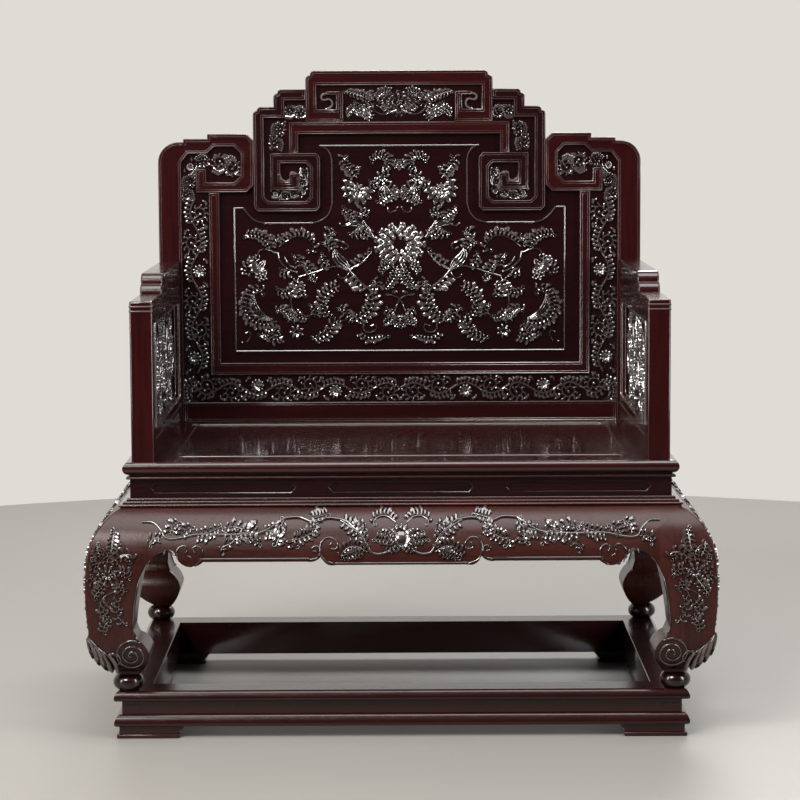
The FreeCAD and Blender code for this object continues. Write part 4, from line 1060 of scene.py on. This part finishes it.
for side, out in DEPTHS.items():
    carve_apron(side, lambda a, b: Vector((-out.y * a, out.y * FRONT_STAND, b)), -out)
for side, out in SIDES.items():
    carve_apron(side, lambda a, b: Vector((out.x * SIDE_STAND, a, b)), -out, SIDE_SHORTER, NOTCH_CLOSER)

# %% [markdown]
# ## Legs
# A flower spray hangs from the shoulder of each leg on both outer faces. The foot is wrapped by a leaf and
# ends in a volute. Both faces take the same board, drawn for the front and pressed on from either side.

# %% The pattern of the legs
# Fronds as for the ends of the aprons; stems and ridges: radius at the root and at the tip, points
LEG_FRONDS = (
    (10, 5, ((490, 332), (487, 350), (485, 366))),
    (10, 5, ((489, 314), (473, 325), (458, 326), (454, 316))),
    (9, 4, ((507, 321), (512, 332), (514, 343))),
    (9, 4, ((480, 300), (466, 296), (457, 288))),
    (9, 4, ((480, 282), (473, 268), (465, 265))),
    (10, 5, ((499, 282), (510, 268), (519, 255))),
    (9, 4, ((507, 305), (517, 309), (524, 318))),
    (9, 5, ((494, 248), (504, 233), (495, 213))),
    (9, 5, ((485, 255), (477, 242), (481, 226), (468, 207))),
    (9, 3, ((496, 214), (503, 205), (505, 193))),
    (9, 4, ((496, 309), (496, 325), (503, 336))),
    (8, 3, ((512, 282), (521, 282), (525, 291))),
)
LEG_STEMS = (
    (2.0, 1.2, ((489, 300), (480, 284), (482, 268), (499, 258), (510, 242), (509, 225), (504, 223))),
    (1.8, 1.2, ((482, 282), (481, 268), (487, 252))),
    (1.8, 1.1, ((473, 323), (458, 326), (453, 316), (461, 311), (463, 316))),
)
FOOT_RIDGES = (
    (2.4, 4.6, ((531, 184), (523, 166), (517, 148))),
    (2.6, 4.8, ((520, 172), (511, 152), (507, 135))),
    (2.6, 4.8, ((509, 160), (500, 141), (496, 124))),
    (2.6, 4.6, ((498, 154), (488, 138), (485, 121))),
)
FOOT_EDGE = ((533, 188), (516, 167), (500, 154), (488, 156), (479, 148), (479, 139), (486, 135), (490, 140))
LEG_EDGE = (
    (396, 331), (418, 320), (436, 298), (447, 268), (452, 236), (454, 205), (450, 188), (442, 179),
)


# %% Carve the legs
LEG_FLOWER, VOLUTE = (497, 293), (459, 151)


def carve_leg(depth, side):
    """Carves the two outer faces of one leg."""
    node = "leg_" + depth + "_" + side
    across, along = SIDES[side].x, DEPTHS[depth].y
    faces = {
        "end": (-DEPTHS[depth], lambda a, b: Vector((across * a, along * FRONT_STAND, b))),
        "flank": (
            -SIDES[side],
            lambda a, b: Vector((across * FLANK_STAND, along * (a - SIDE_SHORTER * MM), b)),
        ),
    }
    for face, (inward, spot) in faces.items():
        board = Carving(5.0, "bulging_relief", 1.4)
        for reach, lobes, points in LEG_FRONDS:
            board.frond(points, reach, lobes)
        for thick, thin, points in LEG_STEMS:
            board.stem(points, thick, thin)
        board.ring(LEG_FLOWER, radius=7, length=12, petals=9, rise=4.5)
        board.ring(LEG_FLOWER, radius=2, length=8, petals=7, facing=20, rise=7)
        for thick, thin, points in FOOT_RIDGES:
            board.stem(points, thick, thin, tip=False)
        board.stem(FOOT_EDGE, thick=1.8, thin=1.5)
        board.stem(LEG_EDGE, thick=1.4, thin=1.4, tip=False)
        board.stem(spiral(VOLUTE, start=29, end=4, angle=122, turns=-2.4), thick=1.5, thin=1.3)
        board.set_in(node + "_" + face + "_carving", pressed([node], spot, inward))


for depth in DEPTHS:
    for side in SIDES:
        carve_leg(depth, side)

# %% [markdown]
# ## Arms
# The arm panels repeat the lower part of the back panel's vine on both faces. A line of the pattern that
# would cross the edge of the smaller field is left out.

# %% Carve the arm panels
ARM_DROP = 92
ARM_HALF, ARM_LOW, ARM_HIGH = 226, 628, 790
ARM_FRONT = face_of("arm_right_front_post", HIGH, Y)
ARM_REAR = face_of("arm_right_rear_post", LOW, Y)
ARM_MIDDLE = (ARM_FRONT + ARM_REAR) / 2


def fits_arm(points):
    """True for a line of the panel's pattern that lies inside the arm's field."""
    return all(x < ARM_HALF and ARM_LOW < z < ARM_HIGH for x, z in points)


for side, out in SIDES.items():
    for face, sign in (("inner", -1), ("outer", 1)):
        board = Carving(relief=5.5, fullness=1.45)
        for reach, turn, points in PANEL_FRONDS:
            if fits_arm(points):
                board.frond(moved(points, 0, ARM_DROP), reach, side=turn)
        for thick, thin, points in PANEL_STEMS:
            if fits_arm(points):
                board.stem(moved(points, 0, ARM_DROP), thick, thin)
        move = pressed(
            ["arm_" + side + "_panel"],
            lambda a, b: Vector((out.x * ARM_STAND, a + ARM_MIDDLE * MM, b)), -out * sign,
        )
        board.set_in("arm_" + side + "_" + face + "_carving", move, mirrored=True, axis=Y)

# %% [markdown]
# ## Bead lines
# Thin beads run along both edges of the back's frame bands, round the panel's field, the seat, the arm
# panels and the arm posts, and along the arms' bottom rails. They could be bevelled into the solids, but
# on the back a bead follows a whole outline across several joined pieces. There the pieces are united
# first, their front is inset by a little, and a thin tube is drawn on that line.

# %% Draw beads
# How much of the paler crest colour the bead lines get: partly wear, partly a painted highlight
BEAD_WEAR_AND_PAINTED_HIGHLIGHT = 0.42
FRONT_FACING, FRONT_DEPTH = -0.99, 0.2 * MM


def keep_lines(bm, name, slot, axis, finish=None, wear_and_painted_highlight=BEAD_WEAR_AND_PAINTED_HIGHLIGHT):
    """Keeps bead lines as one piece, paler than the wood they stand on: partly wear, partly a painted
    highlight.
    """
    crest = bm.verts.layers.float.new("crest")
    for vert in bm.verts:
        vert[crest] = wear_and_painted_highlight
    crease(bm, CARVED_CREASE)
    keep(bm, name, slot, axis, finish=finish)


def tubes(mesh, radius):
    """Round tubes along all edges of a mesh, as a mesh."""
    thing = add_object("lines", mesh)
    bpy.ops.object.select_all(action="DESELECT")
    thing.select_set(True)
    bpy.context.view_layer.objects.active = thing
    bpy.ops.object.convert(target="CURVE")
    thing.data.bevel_depth = radius * MM
    thing.data.bevel_resolution = 2
    thing.data.use_fill_caps = True
    return drawn_mesh(thing)


def united(names):
    """One mesh of several solids that touch, joined as the glued work is."""
    first, *others = [add_object("united", as_mesh(solid_of(name), "united")) for name in names]
    for thing in others:
        join = first.modifiers.new("join", "BOOLEAN")
        join.operation = "UNION"
        join.solver = "EXACT"
        join.object = thing
    bm = bmesh.new()
    bm.from_mesh(drawn_mesh(first))
    for thing in others:
        bpy.data.objects.remove(thing)
    make_whole(bm, 2 * WELD)
    return bm


def front_lines(names, inset):
    """The lines that run a little inside the edges of the joined front of some solids."""
    bm = united(names)
    limit = min(vert.co.y for vert in bm.verts) + FRONT_DEPTH
    front = [f for f in bm.faces if f.normal.y < FRONT_FACING and f.calc_center_median().y < limit]
    bmesh.ops.inset_region(bm, faces=front, thickness=inset * MM, depth=0, use_even_offset=True)
    inside = set(front)
    lines = {e for e in bm.edges if sum(face in inside for face in e.link_faces) == 1}
    bmesh.ops.delete(bm, geom=bm.faces[:], context="FACES_ONLY")
    bmesh.ops.delete(bm, geom=[e for e in bm.edges if e not in lines], context="EDGES")
    bmesh.ops.delete(bm, geom=[v for v in bm.verts if not v.link_edges], context="VERTS")
    return as_mesh(bm, "front_lines")


# %% Beads on the back
# How far inside the edge of its band each line runs, and its radius
BAND_LINES = ((1.5, 1.2), (5.2, 0.65))
bands = [
    ["back_crest_frame"],
    ["back_bottom_rail"],
    ["back_left_inner_stile", "back_inner_top_rail", "back_right_inner_stile", "back_inner_bottom_rail"],
]
for side in SIDES:
    bands.append(["back_" + side + "_stile", "back_" + side + "_shoulder"])
    bands.append(["back_" + side + "_fret"])
beads = bmesh.new()
for names in bands:
    for inset, radius in BAND_LINES:
        beads.from_mesh(tubes(front_lines(names, inset), radius))
    print("beads of", names[0], "so far", len(beads.faces), "faces")
keep_lines(beads, "back_bead_lines", "frame_wood", axis=Z)

# %% The line round the panel's field
FIELD_LINE = 1.7
FIELD_RUNS = (
    ((0, 611), (316, 611)),
    ((316, 611), (316, 886)),
    ((316, 886), (299, 886)),
    ((299, 886), (287, 871), (274, 861), (258, 857)),
    ((258, 857), (166, 857)),
    ((166, 857), (149, 862), (135, 875), (129, 893)),
    ((129, 893), (129, 976)),
    ((129, 976), (132, 988), (138, 997), (146, 1003)),
    ((152, 1004), (0, 1004)),
)
field = Carving()
for points in FIELD_RUNS:
    field.stem(points, FIELD_LINE, FIELD_LINE, tip=False)
field.set_in("back_panel_line", facing_front(PANEL_GROUND), mirrored=True)

# %% The small curls where the frets and the crest's hooks end
CURL_LINE = 2.4
# How deep each curl's ground lies behind the front of the back, and the points of the curl
CURLS = {
    "back_fret_curls": (
        4.0, ((193, 945), (199, 953), (207, 952), (207, 944), (213, 937), (224, 940), (229, 949)),
    ),
    "back_crest_curls": (
        3.5, ((136, 1103), (144, 1101), (148, 1096), (145, 1091), (139, 1091), (133, 1092), (128, 1088),
              (127, 1081), (131, 1076), (138, 1073)),
    ),
}
for name, (deep, points) in CURLS.items():
    curl = Carving()
    curl.stem(points, CURL_LINE, CURL_LINE)
    curl.set_in(name, facing_front(BACK_FRONT + deep), mirrored=True, slot="frame_wood")

# %% The line round the seat and the bands of the arm posts
# How far the lines lie inside the seat's opening, above its panel, inside a post's faces and below its top
SEAT_LINE_IN, SEAT_LINE_UP, SEAT_CORNER = 7, 0.4, 14
POST_LINE_IN, POST_CORNER, POST_BANDS = 0.5, 2, (9, 17)
POST = "arm_right_front_post"


def loop_tube(half, corner, centre, radius):
    """A round tube along a flat rectangle with round corners, set at a centre."""
    bm = bmesh.new()
    bmesh.ops.create_grid(bm, x_segments=1, y_segments=1, size=1)
    bmesh.ops.scale(bm, vec=(half[0] * MM, half[1] * MM, 1), verts=bm.verts)
    bmesh.ops.bevel(
        bm, geom=bm.verts[:], offset=corner * MM, offset_type="OFFSET", segments=8, profile=0.5,
        affect="VERTICES", clamp_overlap=True, material=-1,
    )
    bmesh.ops.delete(bm, geom=bm.faces[:], context="FACES_ONLY")
    bmesh.ops.translate(bm, vec=Vector(centre) * MM, verts=bm.verts)
    return tubes(as_mesh(bm, "loop"), radius)


def spread(node, axis):
    """The middle of a solid along an axis, and half its length there."""
    begin, end = face_of(node, LOW, axis), face_of(node, HIGH, axis)
    return (begin + end) / 2, (end - begin) / 2


opening = (face_of("seat_right_rail", LOW, X), face_of("seat_rear_rail", LOW, Y))
seat_half = [length - SEAT_LINE_IN for length in opening]
seat_level = face_of("seat_panel", HIGH, Z) + SEAT_LINE_UP
seat_line = bmesh.new()
seat_line.from_mesh(loop_tube(seat_half, SEAT_CORNER, (0, 0, seat_level), radius=1.6))
# The seat's line gets the full pale crest colour, a painted highlight, since no lamp lights its runs
# towards the back
keep_lines(seat_line, "seat_panel_line", "seat_wood", axis=X, finish="bulging_relief", wear_and_painted_highlight=1.0)
(post_x, half_x), (post_y, half_y) = spread(POST, X), spread(POST, Y)
post_half = (half_x - POST_LINE_IN, half_y - POST_LINE_IN)
posts = bmesh.new()
for out in SIDES.values():
    for down in POST_BANDS:
        centre = (out.x * post_x, post_y, face_of(POST, HIGH, Z) - down)
        posts.from_mesh(loop_tube(post_half, POST_CORNER, centre, radius=1.8))
keep_lines(posts, "arm_post_lines", "frame_wood", axis=Z)
print("seat line and", len(POST_BANDS), "bands on each arm post")

# %% The lines round the arm panels and along the bottom rails
RAIL = "arm_right_bottom_rail"
ARM_INSIDE, ARM_OUTSIDE = face_of(RAIL, LOW, X), face_of(RAIL, HIGH, X)
RAIL_TOP, RAIL_LINE_DOWN, RAIL_LINE_SHORT = face_of(RAIL, HIGH, Z), 19, 2
RAIL_LINE_END = face_of("arm_right_rear_post", HIGH, Y) - RAIL_LINE_SHORT
ARM_TOP = face_of("arm_right_top_rail", LOW, Z)
OPENING_LEVEL, OPENING_CORNER = (RAIL_TOP + ARM_TOP) / 2, 8
OPENING_HALF = ((ARM_REAR - ARM_FRONT) / 2, (ARM_TOP - RAIL_TOP) / 2)
# How far outside the opening each line runs, how deep it lies in the arm, and its radius
OPENING_LINES = ((3, 0, 1.6), (-2.5, 8, 1.2))
STAND_UP = Matrix.Rotation(math.radians(90), 4, "Z") @ Matrix.Rotation(math.radians(90), 4, "X")


def straight_tube(start, end, radius):
    """A round tube from one point to another."""
    bm = bmesh.new()
    ends = [bmesh.ops.create_vert(bm, co=Vector(point) * MM)["vert"][0] for point in (start, end)]
    bmesh.ops.contextual_create(bm, geom=ends)
    return tubes(as_mesh(bm, "run"), radius)


arm_lines = bmesh.new()
for out in SIDES.values():
    start, end = [
        (out.x * ARM_INSIDE, y, RAIL_TOP - RAIL_LINE_DOWN) for y in (ARM_FRONT, RAIL_LINE_END)
    ]
    arm_lines.from_mesh(straight_tube(start, end, radius=1.5))
    for face, inward in ((ARM_INSIDE, 1), (ARM_OUTSIDE, -1)):
        for outside, deep, radius in OPENING_LINES:
            half = [length + outside for length in OPENING_HALF]
            loop = loop_tube(half, OPENING_CORNER, (0, 0, 0), radius)
            middle = Vector((out.x * (face + inward * deep), ARM_MIDDLE, OPENING_LEVEL))
            loop.transform(Matrix.Translation(middle * MM) @ STAND_UP)
            arm_lines.from_mesh(loop)
bmesh.ops.recalc_face_normals(arm_lines, faces=arm_lines.faces)
print("arm lines:", len(arm_lines.faces), "faces")
# The arm lines are painted pale: a painted highlight, with some wear
keep_lines(arm_lines, "arm_panel_lines", "frame_wood", axis=Y, finish="relief", wear_and_painted_highlight=0.7)

# %% [markdown]
# ## Studio
# A plain pale floor and five soft lamps: a key lamp high on the left, a tall strip on each side, a wide
# one above and one behind. The room itself goes from nearly black in front of the chair to pale behind
# it, so that the dark polish doesn't turn grey with reflections.

# %% The floor
FLOOR_RADIUS = 2.6
FLOOR_COLOUR, FLOOR_ROUGHNESS = (0.20, 0.19, 0.176, 1), 0.45


def make_floor():
    """A wide round pale floor that catches the shadow."""
    bm = bmesh.new()
    bmesh.ops.create_circle(bm, cap_ends=True, segments=96, radius=FLOOR_RADIUS)
    mesh = as_mesh(bm, "floor")
    material = bpy.data.materials.new("pale_floor")
    material.use_nodes = True
    shader = material.node_tree.nodes["Principled BSDF"]
    shader.inputs["Base Color"].default_value = FLOOR_COLOUR
    shader.inputs["Roughness"].default_value = FLOOR_ROUGHNESS
    mesh.materials.append(material)
    floor = add_object("floor", mesh)


make_floor()
print("floor:", FLOOR_RADIUS, "m in radius")

# %% The lamps
# name, place, width, height, watts, colour
LAMPS = (
    ("key", (-1.9, -3.3, 3.5), 1.6, 1.4, 290, (1.0, 0.97, 0.93)),
    ("left", (-3.2, -2.2, 1.9), 0.7, 2.8, 112, (1.0, 0.97, 0.93)),
    ("right", (3.2, -2.2, 1.9), 0.7, 2.8, 130, (0.96, 0.98, 1.0)),
    ("top", (0.0, -1.0, 3.8), 3.0, 2.0, 130, (1.0, 1.0, 1.0)),
    ("rear", (0.8, 3.0, 3.0), 2.4, 1.2, 120, (1.0, 1.0, 1.0)),
)
AIM = Vector((0, 0, 0.6))
for name, spot, width, height, watts, colour in LAMPS:
    data = bpy.data.lights.new(name, "AREA")
    data.shape = "RECTANGLE"
    data.size, data.size_y = width, height
    data.energy = watts
    data.color = colour
    lamp = add_object(name, data)
    lamp.location = spot
    lamp.rotation_euler = (AIM - Vector(spot)).to_track_quat("-Z", "Y").to_euler()
print("lamps:", len(LAMPS))

# %% The room
# The tone of the room from straight in front of the chair, at zero, to straight behind it, at one
ROOM_TONES = (
    (0.02, (0.04, 0.04, 0.042, 1)),
    (0.14, (0.26, 0.25, 0.24, 1)),
    (0.45, (0.34, 0.33, 0.31, 1)),
    (0.75, (0.74, 0.71, 0.67, 1)),
)
world = bpy.data.worlds.new("room")
world.use_nodes = True
bpy.context.scene.world = world
tree = world.node_tree
tree.nodes.clear()
where = place(tree, "ShaderNodeTexCoord")
apart = place(tree, "ShaderNodeSeparateXYZ")
tone = place(tree, "ShaderNodeValToRGB")
stops = tone.color_ramp.elements
for spot, colour in ROOM_TONES:
    stops.new(spot).color = colour
# A new ramp comes with a stop at each end, which aren't wanted
stops.remove(stops[0])
stops.remove(stops[-1])
shifted = place(tree, "ShaderNodeMapRange", {"From Min": -1.0, "From Max": 1.0}, clamp=True)
glow = place(tree, "ShaderNodeBackground")
output = place(tree, "ShaderNodeOutputWorld")
tree.links.new(where.outputs["Generated"], apart.inputs["Vector"])
tree.links.new(apart.outputs["Y"], shifted.inputs["Value"])
tree.links.new(shifted.outputs["Result"], tone.inputs["Fac"])
tree.links.new(tone.outputs["Color"], glow.inputs["Color"])
tree.links.new(glow.outputs["Background"], output.inputs["Surface"])
print("room tones:", len(stops))

# %% The camera
CAMERA_PLACE = (-0.0009, -4.7424, 1.0710)
PITCH_DOWN, ROLL = 6.313, -0.28
LENS, SENSOR = 117.95, 36
camera_data = bpy.data.cameras.new("camera")
camera_data.lens = LENS
camera_data.sensor_width = SENSOR
camera = add_object("camera", camera_data)
camera.matrix_world = (
    Matrix.Translation(CAMERA_PLACE)
    @ Matrix.Rotation(math.radians(90 - PITCH_DOWN), 4, "X")
    @ Matrix.Rotation(math.radians(ROLL), 4, "Z")
)
bpy.context.scene.camera = camera
bpy.context.scene.view_settings.view_transform = "Standard"
print("camera:", CAMERA_PLACE, "lens", LENS)
